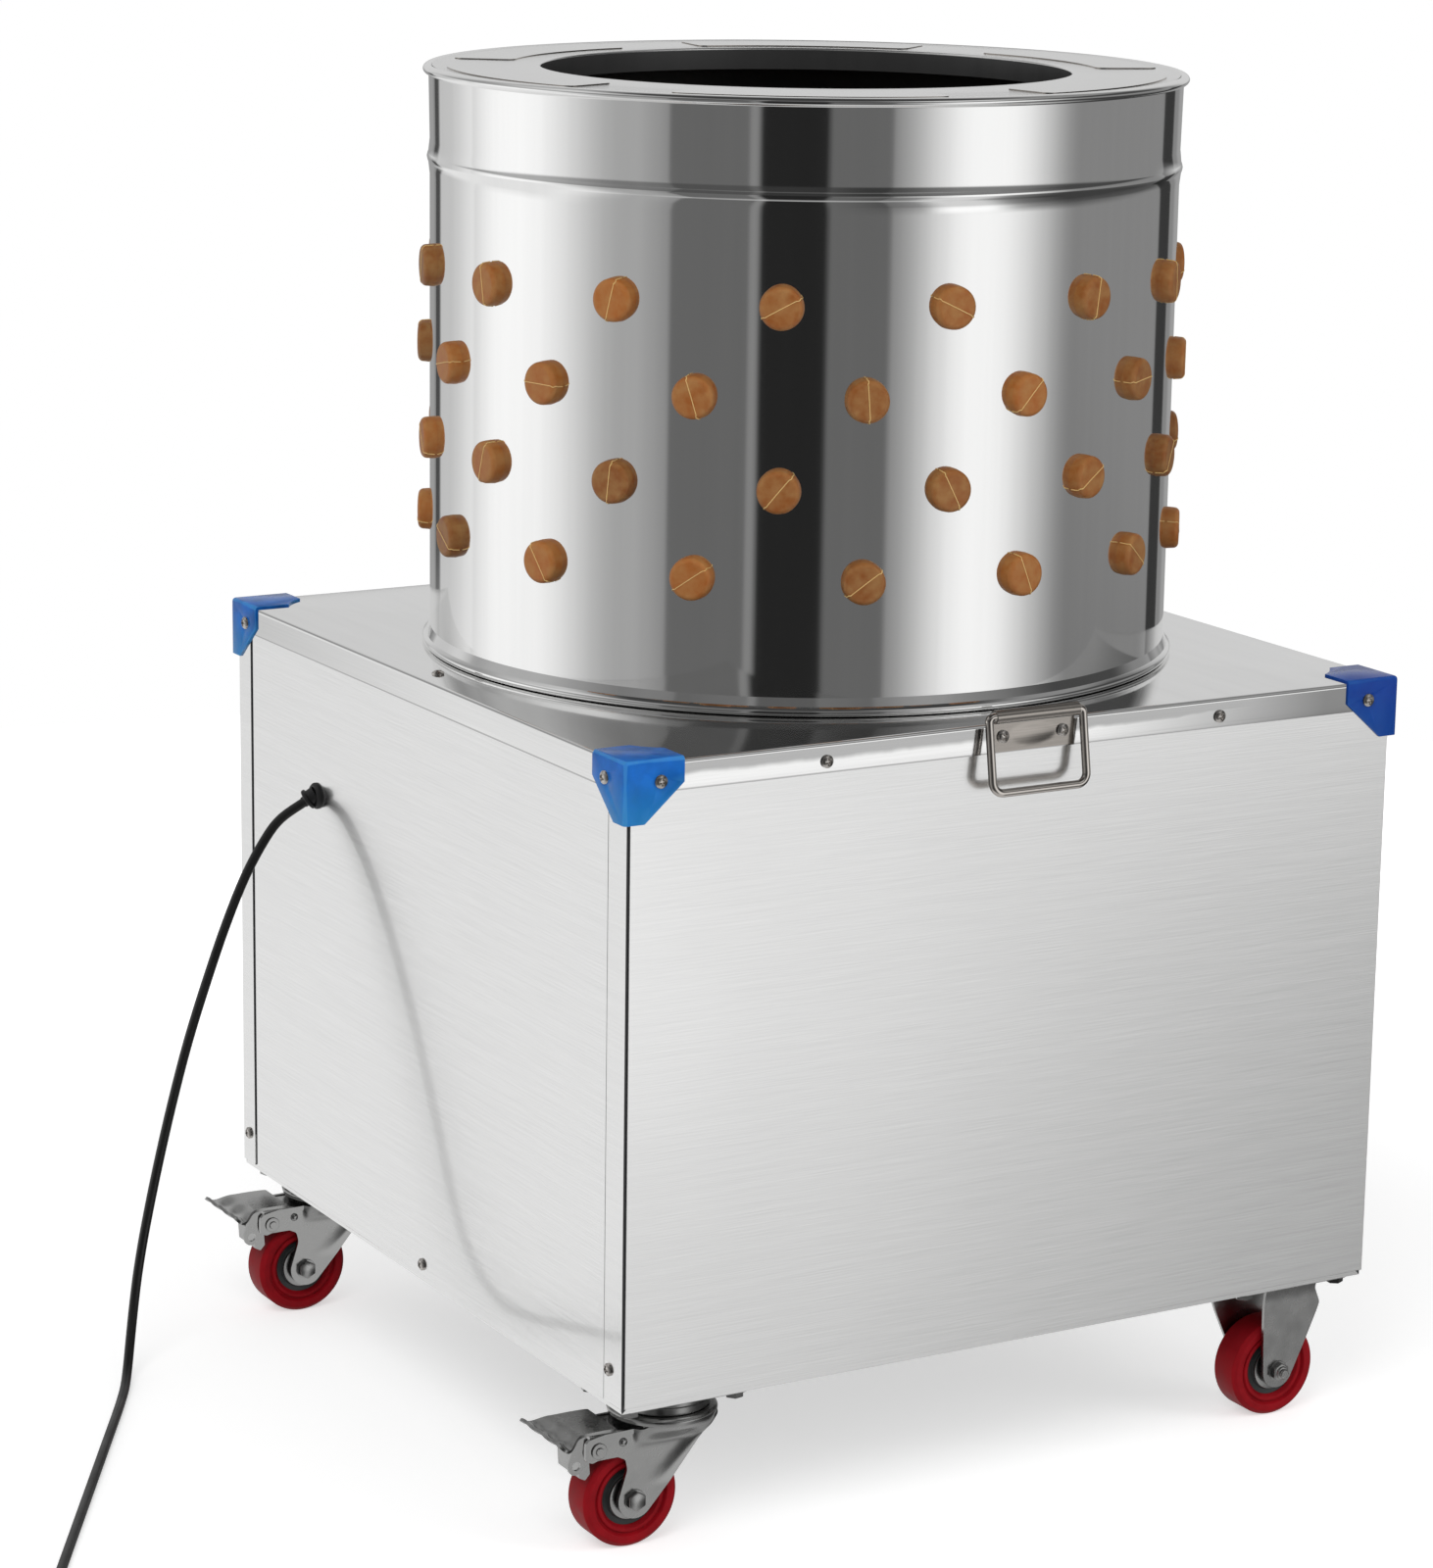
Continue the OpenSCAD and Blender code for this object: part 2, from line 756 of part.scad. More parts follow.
module belt_loop(grow) {
    hull() {
        circle(r = drive_r + free + grow, $fn = 96);
        translate([0, -belt_reach]) circle(r = motor_r + free + grow, $fn = 96);
    }
}

module v_belt() {
    color(dark) translate([0, 0, pulley_mid - belt_w / 2]) linear_extrude(belt_w) difference() {
        belt_loop(belt_t);
        belt_loop(0);
    }
}

// Feather tray, drawn across the cabinet in the Y-Z plane
module along_x(x0, x1) {
    translate([x0, 0, 0]) rotate([90, 0, 90]) linear_extrude(x1 - x0) children();
}

module feather_tray() {
    y0 = angle_t - frame_out;
    y1 = half + tray_lip;
    collar_r = shaft_r + 14;
    color(steel) difference() {
        union() {
            along_x(-tray_half, tray_half) polygon([[y0, tray_z(y0)], [y1, tray_z(y1)],
                [y1, tray_z(y1) - tray_t], [y0, tray_z(y0) - tray_t]]);
            for (x = [-tray_half, tray_half - tray_t]) along_x(x, x + tray_t)
                polygon([[y0, tray_z(y0) + tray_wall], [y1, tray_z(y1) + tray_wall],
                    [y1, tray_z(y1) - tray_t], [y0, tray_z(y0) - tray_t]]);
            translate([0, 0, tray_z(0) - 14]) cylinder(h = 44, r = collar_r + tray_t);
        }
        translate([0, 0, tray_z(0) - 40]) cylinder(h = 120, r = collar_r);
    }
}

// Switch box

module at_button(side) {
    translate([half + box_d, box_y, box_z + side * button_gap / 2]) rotate([0, 90, 0]) children();
}

module switch_box() {
    low = box_z - box_h / 2;
    high = box_z + box_h / 2;
    side = box_w / 2;
    color(dark) difference() {
        union() {
            block(half, half + box_d, box_y - side, box_y + side, low, high);
            block(half, half + box_foot, box_y - side - box_foot, box_y + side + box_foot, low, high);
        }
        for (side = [-1, 1]) at_button(side) translate([0, 0, -button_shank - 8])
            cylinder(h = button_shank + 20, r = button_d / 2 + 0.1);
    }
}

module button(side) {
    at_button(side) translate([0, 0, -button_shank]) {
        cylinder(h = button_shank + button_out - 1.5, r = button_d / 2);
        translate([0, 0, button_shank + button_out - 1.5]) cylinder(h = 1.5, r = button_d / 2 - 1);
    }
}

module start_button() {
    color([0.10, 0.50, 0.20]) button(1);
}

module stop_button() {
    color(red) button(-1);
}

// Cord

module gland_bore() {
    translate([-half - 1, gland_y, gland_z]) rotate([0, 90, 0]) cylinder(h = 60, r = 7);
}

module cord_gland() {
    color(dark) {
        translate([-half - gland_flange_t, gland_y, gland_z]) rotate([0, 90, 0])
            cylinder(h = gland_flange_t, r = gland_flange_r);
        translate([-half - 1, gland_y, gland_z]) rotate([0, 90, 0]) cylinder(h = 8 + panel_t, r = 6.6);
        translate([-sheet_in + 0.1, gland_y, gland_z]) rotate([0, 90, 0])
            cylinder(h = 6, r = gland_flange_r, $fn = 6);
        intersection() {
            translate(nose_end) aim(-nose_dir) cylinder(h = nose_len + 3, r1 = cord_r + 1, r2 = cord_r + 2.8);
            block(-cab_w, -half - 1, -half, half, 0, top_z);
        }
    }
}

// Points between the route's own points on one smooth curve
function mid_point(a, b, c, d) = (9 * (b + c) - a - d) / 16;
function route_points(p) = let (n = len(p)) [for (i = [0 : n - 1]) each i == n - 1 ? [p[i]]
    : [p[i], mid_point(p[max(i - 1, 0)], p[i], p[i + 1], p[min(i + 2, n - 1)])]];
function heading(p, i) = unit(p[min(i + 1, len(p) - 1)] - p[max(i - 1, 0)]);
function tube_ring(p, i, r, sides, side_ref) =
    let (t = heading(p, i), n = unit(cross(t, side_ref)), b = cross(t, n))
    [for (k = [0 : sides - 1]) p[i] + r * (cos(360 * k / sides) * n + sin(360 * k / sides) * b)];

// One closed tube through a list of points
module tube(p, r, sides, side_ref) {
    n = len(p);
    skin = [for (i = [0 : n - 2]) for (k = [0 : sides - 1])
        let (a = i * sides + k, b = i * sides + (k + 1) % sides)
        each [[a, a + sides, b], [b, a + sides, b + sides]]];
    first = [for (k = [1 : sides - 2]) [0, k, k + 1]];
    last = [for (k = [1 : sides - 2]) let (s = (n - 1) * sides) [s, s + k + 1, s + k]];
    polyhedron([for (i = [0 : n - 1]) each tube_ring(p, i, r, sides, side_ref)], concat(skin, first, last));
}

lead_points = concat([nose_end], route_points(cord_route));

module cord_lead() {
    color(dark) tube(lead_points, cord_r, 8, [0.8, -0.6, 0]);
}

// Radius and height along the coil, counted in turns
coil_in = coil_turns + 0.25;
coil_end = 2 * coil_turns + 0.5;
function coil_radius(u) = coil_out - coil_step * (coil_in - abs(u - coil_in));
function coil_rise(u) = coil_step * smooth(max(0, min(1, (u - coil_turns) * 2)));
function coil_local(u) = let (r = coil_radius(u))
    [r * cos(360 * u), -r * sin(360 * u), cord_r + coil_rise(u)];
function turned(p, a) = [p.x * cos(a) - p.y * sin(a), p.x * sin(a) + p.y * cos(a), p.z];
route_last = cord_route[len(cord_route) - 1];
route_head = unit(route_last - cord_route[len(cord_route) - 2]);
coil_first = coil_local(0.02) - coil_local(0);
coil_turn = atan2(route_head.y, route_head.x) - atan2(coil_first.y, coil_first.x);
coil_start = route_last + coil_straight * route_head;
coil_shift = coil_start - turned(coil_local(0), coil_turn);
coil_count = ceil(coil_end * coil_rings);
coil_wound = [for (i = [0 : coil_count])
    coil_shift + turned(coil_local(coil_end * i / coil_count), coil_turn)];
coil_last = coil_wound[coil_count];
coil_head = unit(coil_last - coil_wound[coil_count - 1]);
coil_exit = coil_last + coil_straight * coil_head;
coil_points = concat([route_last], coil_wound, [coil_exit]);

// Least gap between turns, on points at least half a turn apart
coil_gap = min([for (i = [0 : coil_count]) for (j = [i + coil_rings / 2 : 1 : coil_count])
    norm(coil_wound[i] - coil_wound[j])]) - cord_d;
echo(coil_gap = coil_gap);

module cord_coil() {
    color(dark) tube(coil_points, cord_r, 6, [0, 0, 1]);
}

module cord_plug() {
    blade_out = 17;
    face = boot_len + plug_len;
    color(dark) translate(coil_exit) aim(coil_head) {
        cylinder(h = boot_len, r1 = cord_r + 1.5, r2 = cord_r + 4);
        translate([0, 0, boot_len]) cylinder(h = plug_len - 6, r = plug_r);
        translate([0, 0, face - 6]) cylinder(h = 6, r = plug_r - 1);
        for (s = [-1, 1]) translate([-3.2, s * 6.3 - 0.8, face - 1]) cube([6.4, 1.6, blade_out]);
        translate([7, 0, face - 1]) cylinder(h = blade_out + 2, r = 2.4);
    }
}

// Castors

module at_feet(places) {
    for (p = places) translate([p[0], p[1], 0]) children();
}

module at_foot_bolts() {
    for (x = [-bolt_l / 2, bolt_l / 2]) for (y = [-bolt_w / 2, bolt_w / 2]) translate([x, y, 0]) children();
}

module foot_bores() {
    at_feet(concat(swivel_places, rigid_places)) at_foot_bolts()
        translate([0, 0, foot_z - 1]) cylinder(h = foot_t + angle_t + 3, r = axle_r + 0.2);
}

module foot_plate() {
    difference() {
        block(-foot_l / 2, foot_l / 2, -foot_w / 2, foot_w / 2, foot_z, castor_h);
        at_foot_bolts() translate([0, 0, foot_z - 1]) cylinder(h = foot_t + 2, r = axle_r + 0.2);
    }
}

module castor_bolts() {
    color(zinc) at_feet(concat(swivel_places, rigid_places)) at_foot_bolts() {
        translate([0, 0, foot_z - bolt_head_t]) cylinder(h = bolt_head_t, r = bolt_across / 2, $fn = 6);
        translate([0, 0, foot_z - 1]) cylinder(h = foot_t + angle_t + nut_t + 3, r = axle_r);
        translate([0, 0, castor_h + angle_t]) cylinder(h = nut_t, r = bolt_across / 2, $fn = 6);
    }
}

module swivel_plates() {
    color(zinc) at_feet(swivel_places) {
        foot_plate();
        translate([0, 0, cup_z]) cylinder(h = foot_z - cup_z, r = cup_r);
        translate([0, 0, crown_z - 4]) cylinder(h = foot_z - crown_z, r = kingpin_r);
        translate([0, 0, crown_z - free - 4]) cylinder(h = 4, r = kingpin_r + 5);
    }
}

module swivel_leg() {
    px = pedal_pivot[0];
    pz = pedal_pivot[1];
    difference() {
        union() {
            polygon([[26, crown_z + crown_t], [crown_r, crown_z - 4], [17, crown_z - 30], [0, wheel_r + 8.5],
                [-trail + 8, wheel_r - 8], [-trail - 11, wheel_r + 6], [px + 24, pz - 21], [px + 18, pz - 10],
                [px - 1, pz - 8], [px - 9, pz - 3], [px - 10, pz + 7], [px - 7, pz + 11], [px + 18, pz + 12],
                [-24, crown_z + crown_t]]);
            translate([-trail, wheel_r]) circle(r = boss_r);
        }
        translate([-trail, wheel_r]) circle(r = axle_r + run);
        translate(pedal_pivot) circle(r = rivet_r + run);
    }
}

module swivel_fork(p) {
    px = pedal_pivot[0];
    pz = pedal_pivot[1];
    color(zinc) translate([p[0], p[1], 0]) {
        upright(-leg_out, -leg_in) swivel_leg();
        upright(leg_in, leg_out) swivel_leg();
        difference() {
            translate([0, 0, crown_z]) cylinder(h = crown_t, r = crown_r);
            cylinder(h = castor_h, r = kingpin_r + run);
        }
        block(px - 6, px + 26, -leg_in - 1, leg_in + 1, pz + 8.5, pz + 11);
    }
}

module hex_bolt() {
    bar_y(-leg_out - 1, leg_out + nut_t + 1.5, axle_r);
    translate([0, -leg_out - bolt_head_t, 0]) rotate([-90, 0, 0])
        cylinder(h = bolt_head_t, r = bolt_across / 2, $fn = 6);
    translate([0, leg_out, 0]) rotate([-90, 0, 0]) cylinder(h = nut_t, r = bolt_across / 2, $fn = 6);
}

module swivel_axle(p) {
    color(zinc) translate([p[0] - trail, p[1], wheel_r]) hex_bolt();
}

// Brake pedal with its ears, pin and shoe, drawn round the pin that it turns about
module brake_pedal(p) {
    tip = pedal_reach + pedal_pivot[0];
    tread_z = 14;
    ear_out = ear_in + ear_t;
    eyelet = [-20, -7.5];
    color(zinc) translate([p[0] + pedal_pivot[0], p[1], pedal_pivot[1]]) {
        intersection() {
            upright(-pedal_w / 2, pedal_w / 2) polygon([[14, tread_z], [-19, tread_z], [10 - tip, 8.5],
                [4 - tip, 9.5], [-tip, 13], [-tip, 13 + ear_t], [4 - tip, 9.5 + ear_t],
                [10 - tip, 8.5 + ear_t], [-19, tread_z + ear_t], [14, tread_z + ear_t]]);
            linear_extrude(2 * tread_z) polygon([[14, -ear_out], [-17, -ear_out],
                [9 - tip, 3 - pedal_w / 2], [-tip, -pedal_w / 2], [-tip, pedal_w / 2],
                [9 - tip, pedal_w / 2 - 3], [-17, ear_out], [14, ear_out]]);
        }
        for (y = [-ear_out, ear_in]) upright(y, y + ear_t) difference() {
            union() {
                polygon([[7, 15], [8, 2], [4, -7], [-4.5, -10], [-9.5, -8.5], [-12, -5], [-20, -14],
                    [-26, -9], [-19, 15]]);
                translate(eyelet) circle(r = 7);
            }
            translate(eyelet) circle(r = 3.6);
        }
        bar_y(-ear_out - 1.5, ear_out + 1.5, rivet_r);
        upright(-ear_in - 1, ear_in + 1)
            polygon([[-5, -19], [-9, -23.5], [-14, -21], [-15, -8], [-5, -8]]);
    }
}

module rigid_leg() {
    difference() {
        union() {
            polygon([[-15, foot_z], [35, foot_z], [34.5, foot_z - 12], [40, foot_z - 25], [37, foot_z - 33],
                [29, wheel_r + 27.5], [12, wheel_r - 6], [-12, wheel_r - 6], [-15.5, wheel_r + 22]]);
            translate([0, wheel_r]) circle(r = boss_r);
        }
        translate([0, wheel_r]) circle(r = axle_r + run);
    }
}

module rigid_fork(p) {
    color(zinc) translate([p[0], p[1], 0]) {
        foot_plate();
        upright(-leg_out, -leg_in) rigid_leg();
        upright(leg_in, leg_out) mirror([1, 0]) rigid_leg();
        block(-15, 15, -leg_in - 1, leg_in + 1, foot_z - leg_t, foot_z + 1);
    }
}

module rigid_axles() {
    color(zinc) at_feet(rigid_places) translate([0, 0, wheel_r]) mirror([0, 1, 0]) hex_bolt();
}

// A wheel's place: the axle's middle
module at_wheel(p, back) {
    translate([p[0] - back, p[1], wheel_r]) rotate([-90, 0, 0]) children();
}

module tyre(p, back) {
    w = wheel_w / 2;
    edge = 2.5;
    color(red) at_wheel(p, back) rotate_extrude() polygon([[hub_r + seat, -w + 2], [hub_r + 4, -w + 2],
        [hub_r + 5, -w], [wheel_r - edge, -w], [wheel_r, edge - w], [wheel_r, w - edge], [wheel_r - edge, w],
        [hub_r + 5, w], [hub_r + 4, w - 2], [hub_r + seat, w - 2]]);
}

module hub(p, back) {
    w = wheel_w / 2;
    color(dark) at_wheel(p, back) rotate_extrude() polygon([[axle_r + run, -leg_in + 0.3], [9, -leg_in + 0.3],
        [10, 2 - w], [15, 2 - w], [16, 3 - w], [hub_r, 3 - w], [hub_r, w - 3], [16, w - 3], [15, w - 2],
        [10, w - 2], [9, leg_in - 0.3], [axle_r + run, leg_in - 0.3]]);
}

base_frame();
front_panel();
back_panel();
left_panel();
right_panel();
top_plate();
guard_at(0, 0);  // corner_guard_front_left
guard_at(1, 0);  // corner_guard_front_right
guard_at(0, 1);  // corner_guard_back_left
guard_at(1, 1);  // corner_guard_back_right
sheet_screws();
handle_plate();  // handle_plate_front
mirror([0, 1, 0]) handle_plate();  // handle_plate_back
handle_bail();  // handle_bail_front
mirror([0, 1, 0]) handle_bail();  // handle_bail_back
drum_shell();
drum_top_ring();
finger_row(1);  // drum_fingers_1
finger_row(2);  // drum_fingers_2
finger_row(3);  // drum_fingers_3
finger_row(4);  // drum_fingers_4
feather_disc();
disc_fingers();
disc_hub();
drive_shaft();
drive_pulley();
shaft_bearings();
bearing_bridge();
motor_plate();
motor_body();
motor_shaft();
motor_pulley();
v_belt();
feather_tray();
switch_box();
start_button();
stop_button();
cord_gland();
cord_lead();
cord_coil();
cord_plug();
swivel_plates();
swivel_fork(swivel_places[0]);  // castor_fork_front_left
swivel_fork(swivel_places[1]);  // castor_fork_back_left
swivel_axle(swivel_places[0]);  // castor_axle_front_left
swivel_axle(swivel_places[1]);  // castor_axle_back_left
brake_pedal(swivel_places[0]);  // brake_pedal_front_left
brake_pedal(swivel_places[1]);  // brake_pedal_back_left
rigid_fork(rigid_places[0]);  // rigid_fork_front_right
rigid_fork(rigid_places[1]);  // rigid_fork_back_right
rigid_axles();
castor_bolts();
tyre(swivel_places[0], trail);  // tyre_front_left
tyre(swivel_places[1], trail);  // tyre_back_left
tyre(rigid_places[0], 0);  // tyre_front_right
tyre(rigid_places[1], 0);  // tyre_back_right
hub(swivel_places[0], trail);  // hub_front_left
hub(swivel_places[1], trail);  // hub_back_left
hub(rigid_places[0], 0);  // hub_front_right
hub(rigid_places[1], 0);  // hub_back_right
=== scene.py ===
"""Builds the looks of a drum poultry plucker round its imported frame: metres, +Z up, front towards -Y."""
import math

import bmesh
import bpy
from bpy.props import FloatProperty, FloatVectorProperty, IntProperty, PointerProperty
from mathutils import Matrix, Vector


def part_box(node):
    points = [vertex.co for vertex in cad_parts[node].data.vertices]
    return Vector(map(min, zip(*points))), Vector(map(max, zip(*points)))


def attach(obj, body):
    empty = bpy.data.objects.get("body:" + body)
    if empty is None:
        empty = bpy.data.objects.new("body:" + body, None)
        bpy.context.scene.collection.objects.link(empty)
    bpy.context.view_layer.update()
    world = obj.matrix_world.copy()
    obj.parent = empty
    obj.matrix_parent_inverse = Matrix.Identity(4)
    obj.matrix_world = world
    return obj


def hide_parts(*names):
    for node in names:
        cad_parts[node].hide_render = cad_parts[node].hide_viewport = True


bl_info = {
    "name": "Poultry plucker",
    "version": (1, 0, 0),
    "blender": (4, 5, 0),
    "location": "View3D > Sidebar > Plucker",
    "description": "Builds the visual model of a drum poultry plucker",
    "category": "Object",
}

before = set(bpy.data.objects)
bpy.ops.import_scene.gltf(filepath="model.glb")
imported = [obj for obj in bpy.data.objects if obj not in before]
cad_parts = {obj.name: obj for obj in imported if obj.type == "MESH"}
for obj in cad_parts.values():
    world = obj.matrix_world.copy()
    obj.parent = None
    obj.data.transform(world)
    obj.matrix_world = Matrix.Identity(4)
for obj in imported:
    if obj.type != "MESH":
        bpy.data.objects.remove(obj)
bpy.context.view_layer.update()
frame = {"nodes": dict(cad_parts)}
FULL_TURN = 2 * math.pi


def low(node):
    """Lowest corner of a CAD node."""
    return Vector(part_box(node)[0])


def high(node):
    """Highest corner of a CAD node."""
    return Vector(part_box(node)[1])


TOP_Z = high("top_plate").z
SKIRT = high("top_plate").x
SKIRT_Z = low("top_plate").z
PANEL = high("right_panel").x
PANEL_Z = low("front_panel").z
PANEL_TOP = high("front_panel").z
RIM_Z = high("drum_shell").z
CASTOR_PLACES = {f"{end}_{side}": Vector((x, y, 0)) for side, x in (("left", -0.284), ("right", 0.284))
                 for end, y in (("front", -0.298), ("back", 0.298))}
WHEEL_R = high("tyre_front_left").z / 2
TRAIL = 0.034
FOOT_T = 0.003
FOOT_Z = high("swivel_plates").z - FOOT_T
ROW_STEP = 24.8


# Settings


def length(name, description, default):
    return FloatProperty(name=name, description=description, default=default, unit="LENGTH", precision=4)


def turn(name, description, degrees):
    return FloatProperty(name=name, description=description, default=math.radians(degrees), unit="ROTATION")


def colour(name, description, default):
    return FloatVectorProperty(name=name, description=description, default=default, size=3, subtype="COLOR",
                               min=0, max=1)


def level(name, description, default):
    return FloatProperty(name=name, description=description, default=default, min=0)


class StageSettings(bpy.types.PropertyGroup):
    """Camera, floor, world and lamps"""
    eye: FloatVectorProperty(name="Camera", description="Place of the camera", size=3, unit="LENGTH",
                             default=(-1.8908, -3.1708, 1.3620))
    aim: FloatVectorProperty(name="Aim", description="Point in the middle of the picture", size=3,
                             unit="LENGTH", default=(-0.31741, -0.42646, 0.6205))
    roll: turn("Roll", "Turn of the camera about its line of sight", 0.819)
    lens: FloatProperty(name="Lens", description="Focal length in millimetres", default=105.094)
    floor_radius: length("Floor radius", "Radius of the pale floor", 2.6)
    floor_shade: level("Floor shade", "Reflectance of the floor", 0.80)
    floor_glow: level("Floor glow", "Light that lifts the floor to white for the camera", 0.55)
    ambient: level("Ambient", "Strength of the even light from all round", 0.46)
    key: level("Key lamp", "Power of the large lamp in watts", 58.0)
    fill: level("Fill lamp", "Power of the lamp on the right in watts", 26.0)


class DrumSettings(bpy.types.PropertyGroup):
    """Drum shell and top ring"""
    radius: length("Wall radius", "Outside radius of the wall", high("drum_shell").x - 0.0065)
    sheet: length("Sheet", "Thickness of the wall", 0.0015)
    floor_radius: length("Floor radius", "Inner radius of the floor ring", 0.290)
    rim: length("Rim height", "Half of the height of the rolled rim", 0.0038)
    rim_out: length("Rim rise", "How far the rolled rim stands out", 0.0055)
    bead_drop: length("Bead drop", "Distance of the pressed bead below the rim's top", 0.073)
    bead_half: length("Bead half height", "Half of the height of the pressed bead", 0.014)
    bead_out: length("Bead rise", "How far the bead's slopes stand out", 0.0016)
    bead_ridge: length("Bead ridge", "Further rise of the bead's crest", 0.0007)
    base_flare: length("Base flare", "Height of the wall's flared foot", 0.0144)
    base_roll: length("Base roll", "Radius of the roll at the base", 0.0033)
    mouth: length("Mouth radius", "Radius of the mouth", 0.212)
    sector_inner: length("Sector inner radius", "Inner radius of a pressed sector", 0.2375)
    sector_outer: length("Sector outer radius", "Outer radius of a pressed sector", 0.2885)
    sector_rise: length("Sector rise", "How far a sector stands up", 0.0009)
    sector_half: turn("Sector half angle", "Half of the angle of a pressed sector", 21.5)
    turns: IntProperty(name="Turns", description="Number of faces round the drum", default=256, min=32)


class FingerSettings(bpy.types.PropertyGroup):
    """Rubber fingers"""
    head_radius: length("Head radius", "Radius of a finger's head", 0.017)
    head_depth: length("Head depth", "Thickness of a finger's head", 0.010)
    root_radius: length("Root radius", "Radius of a finger at its root", 0.0125)
    tip_radius: length("Tip radius", "Radius of a finger at its tip", 0.008)
    reach: length("Reach", "Length of a finger from the sheet", 0.082)
    ribs: IntProperty(name="Ribs", description="Number of ribs along a finger", default=9, min=0)
    ridge: length("Parting ridge", "Width of the moulding ridge across a head", 0.0009)
    step: turn("Row step", "Angle between two fingers in a row", ROW_STEP)
    seed: IntProperty(name="Seed", description="Seed for the turn and tone of each finger", default=7)


class CabinetSettings(bpy.types.PropertyGroup):
    """Sheets, guards, handles and screws of the cabinet"""
    sheet: length("Sheet", "Thickness of the top plate", 0.0015)
    panel: length("Panel sheet", "Thickness of the panels", 0.0012)
    fold: length("Fold radius", "Radius of the top plate's folded edges", 0.003)
    rear_gap: length("Rear gap", "Open joint between a side panel and the rear sheet", 0.003)
    strip: length("Corner strip", "Width of the folded strip at a side panel's front edge", 0.028)
    guard_round: length("Guard rounding", "Radius of the corner guards' outer edges", 0.0032)
    rod: length("Bail rod", "Radius of the handles' rod", 0.00325)
    screw_head: length("Screw head", "Radius of a screw's head", 0.005)


class FinishSettings(bpy.types.PropertyGroup):
    """Colours of the finishes"""
    panel: colour("Brushed sheet", "Brushed stainless panels", (0.87, 0.87, 0.865))
    drum: colour("Polished sheet", "Bright rolled stainless steel", (0.90, 0.90, 0.895))
    # Painted shade: near-black steel on the drum's inner faces, the top ring's lip and the side sheets' ends in
    # the corner seams
    inside: colour("Shaded steel", "Faces in the drum and in the cabinet's joints", (0.05, 0.05, 0.05))
    zinc: colour("Zinc", "Zinc-plated pressings", (0.38, 0.38, 0.375))
    rod: colour("Rod", "Bright rod of the handles", (0.62, 0.58, 0.54))
    # Also carries painted shade on the steep sides of the top ring's pressed sectors
    hinge: colour("Dull steel", "Plates of the handles and seams of the top ring", (0.40, 0.37, 0.34))
    screw: colour("Screws", "Plated screws", (0.62, 0.59, 0.56))
    blue: colour("Guards", "Moulded corner guards", (0.011, 0.135, 0.50))
    # Painted light on the guards: highlights along the edges, a glow at the lower tip, shade towards the right
    painted_blue_highlight: colour("Guard lines", "Bright lines along the guards' edges", (0.10, 0.40, 0.80))
    painted_blue_shade: colour("Guard shade", "Guards where little light passes through", (0.012, 0.042, 0.30))
    painted_blue_glow: colour("Guard edges", "Where light passes through the guards", (0.03, 0.27, 0.66))
    rubber: colour("Fingers", "Natural rubber", (0.345, 0.104, 0.014))
    rubber_pale: colour("Moulding ridge", "Pale ridge of the moulding", (0.80, 0.55, 0.22))
    tyre: colour("Tyres", "Cast polyurethane", (0.33, 0.006, 0.012))
    hub: colour("Hubs", "Wheel hubs", (0.030, 0.034, 0.034))
    iron: colour("Cast iron", "Machined castings", (0.16, 0.165, 0.17))
    frame: colour("Frame", "Dark enamel of the frame and motor", (0.045, 0.047, 0.05))
    black: colour("Black plastic", "Switch box, gland and plug", (0.016, 0.016, 0.017))
    cord: colour("Cord", "Cord sheath", (0.012, 0.012, 0.012))
    start: colour("Start", "Start button", (0.02, 0.30, 0.07))
    stop: colour("Stop", "Stop button", (0.55, 0.015, 0.015))


# Node trees


class Graph:
    """Adds nodes to a tree and feeds their inputs with values or with other nodes' outputs."""

    def __init__(self, tree):
        self.tree = tree
        tree.nodes.clear()

    def add(self, kind, inputs=None, **settings):
        made = self.tree.nodes.new(kind)
        for name, value in settings.items():
            setattr(made, name, value)
        return self.feed(made, inputs or {})

    def feed(self, node, inputs):
        """Sets inputs to values or links them to outputs."""
        for key, value in inputs.items():
            if isinstance(value, bpy.types.NodeSocket):
                self.tree.links.new(value, node.inputs[key])
            else:
                node.inputs[key].default_value = value
        return node

    def math(self, operation, first, second=0.0):
        return self.add("ShaderNodeMath", {0: first, 1: second}, operation=operation).outputs[0]

    def ramp(self, value, start, end, low_value=0.0, high_value=1.0, smooth=False):
        kind = "SMOOTHSTEP" if smooth else "LINEAR"
        return self.add("ShaderNodeMapRange", {
            "Value": value, "From Min": start, "From Max": end, "To Min": low_value, "To Max": high_value},
            interpolation_type=kind).outputs[0]

    def blend(self, factor, first, second):
        return self.add("ShaderNodeMix", {0: factor, 6: first, 7: second}, data_type="RGBA").outputs[2]

    def noise(self, vector, scale, detail=2.0, rough=0.5):
        return self.add("ShaderNodeTexNoise", {
            "Vector": vector, "Scale": scale, "Detail": detail, "Roughness": rough}).outputs["Fac"]


def rgba(rgb, gain=1.0):
    """A colour with full opacity, brighter or darker by a gain."""
    return tuple(min(1.0, c * gain) for c in rgb) + (1.0,)


def new_group(name, kind, inputs, outputs):
    """A node group with its sockets; returns its graph, its input sockets and its output node."""
    tree = bpy.data.node_groups.new(name, kind)
    graph = Graph(tree)
    for label, socket, default in inputs:
        made = tree.interface.new_socket(label, in_out="INPUT", socket_type=socket)
        if default is not None:
            made.default_value = default
    for label, socket in outputs:
        tree.interface.new_socket(label, in_out="OUTPUT", socket_type=socket)
    source = graph.add("NodeGroupInput")
    return graph, source.outputs, graph.add("NodeGroupOutput")


CONTRAST = (0.3, 0.7)
STREAK_CONTRAST = (0.25, 0.75)
BROAD_STREAKS = (0.35, 0.35, 0.16)
FINE_SHARE = 0.75
BUMP_DEPTH = 0.0004
# Roughness and refraction of a coat
METAL_COAT = (0.06, 1.8)
PLASTIC_COAT = (0.12, 1.5)
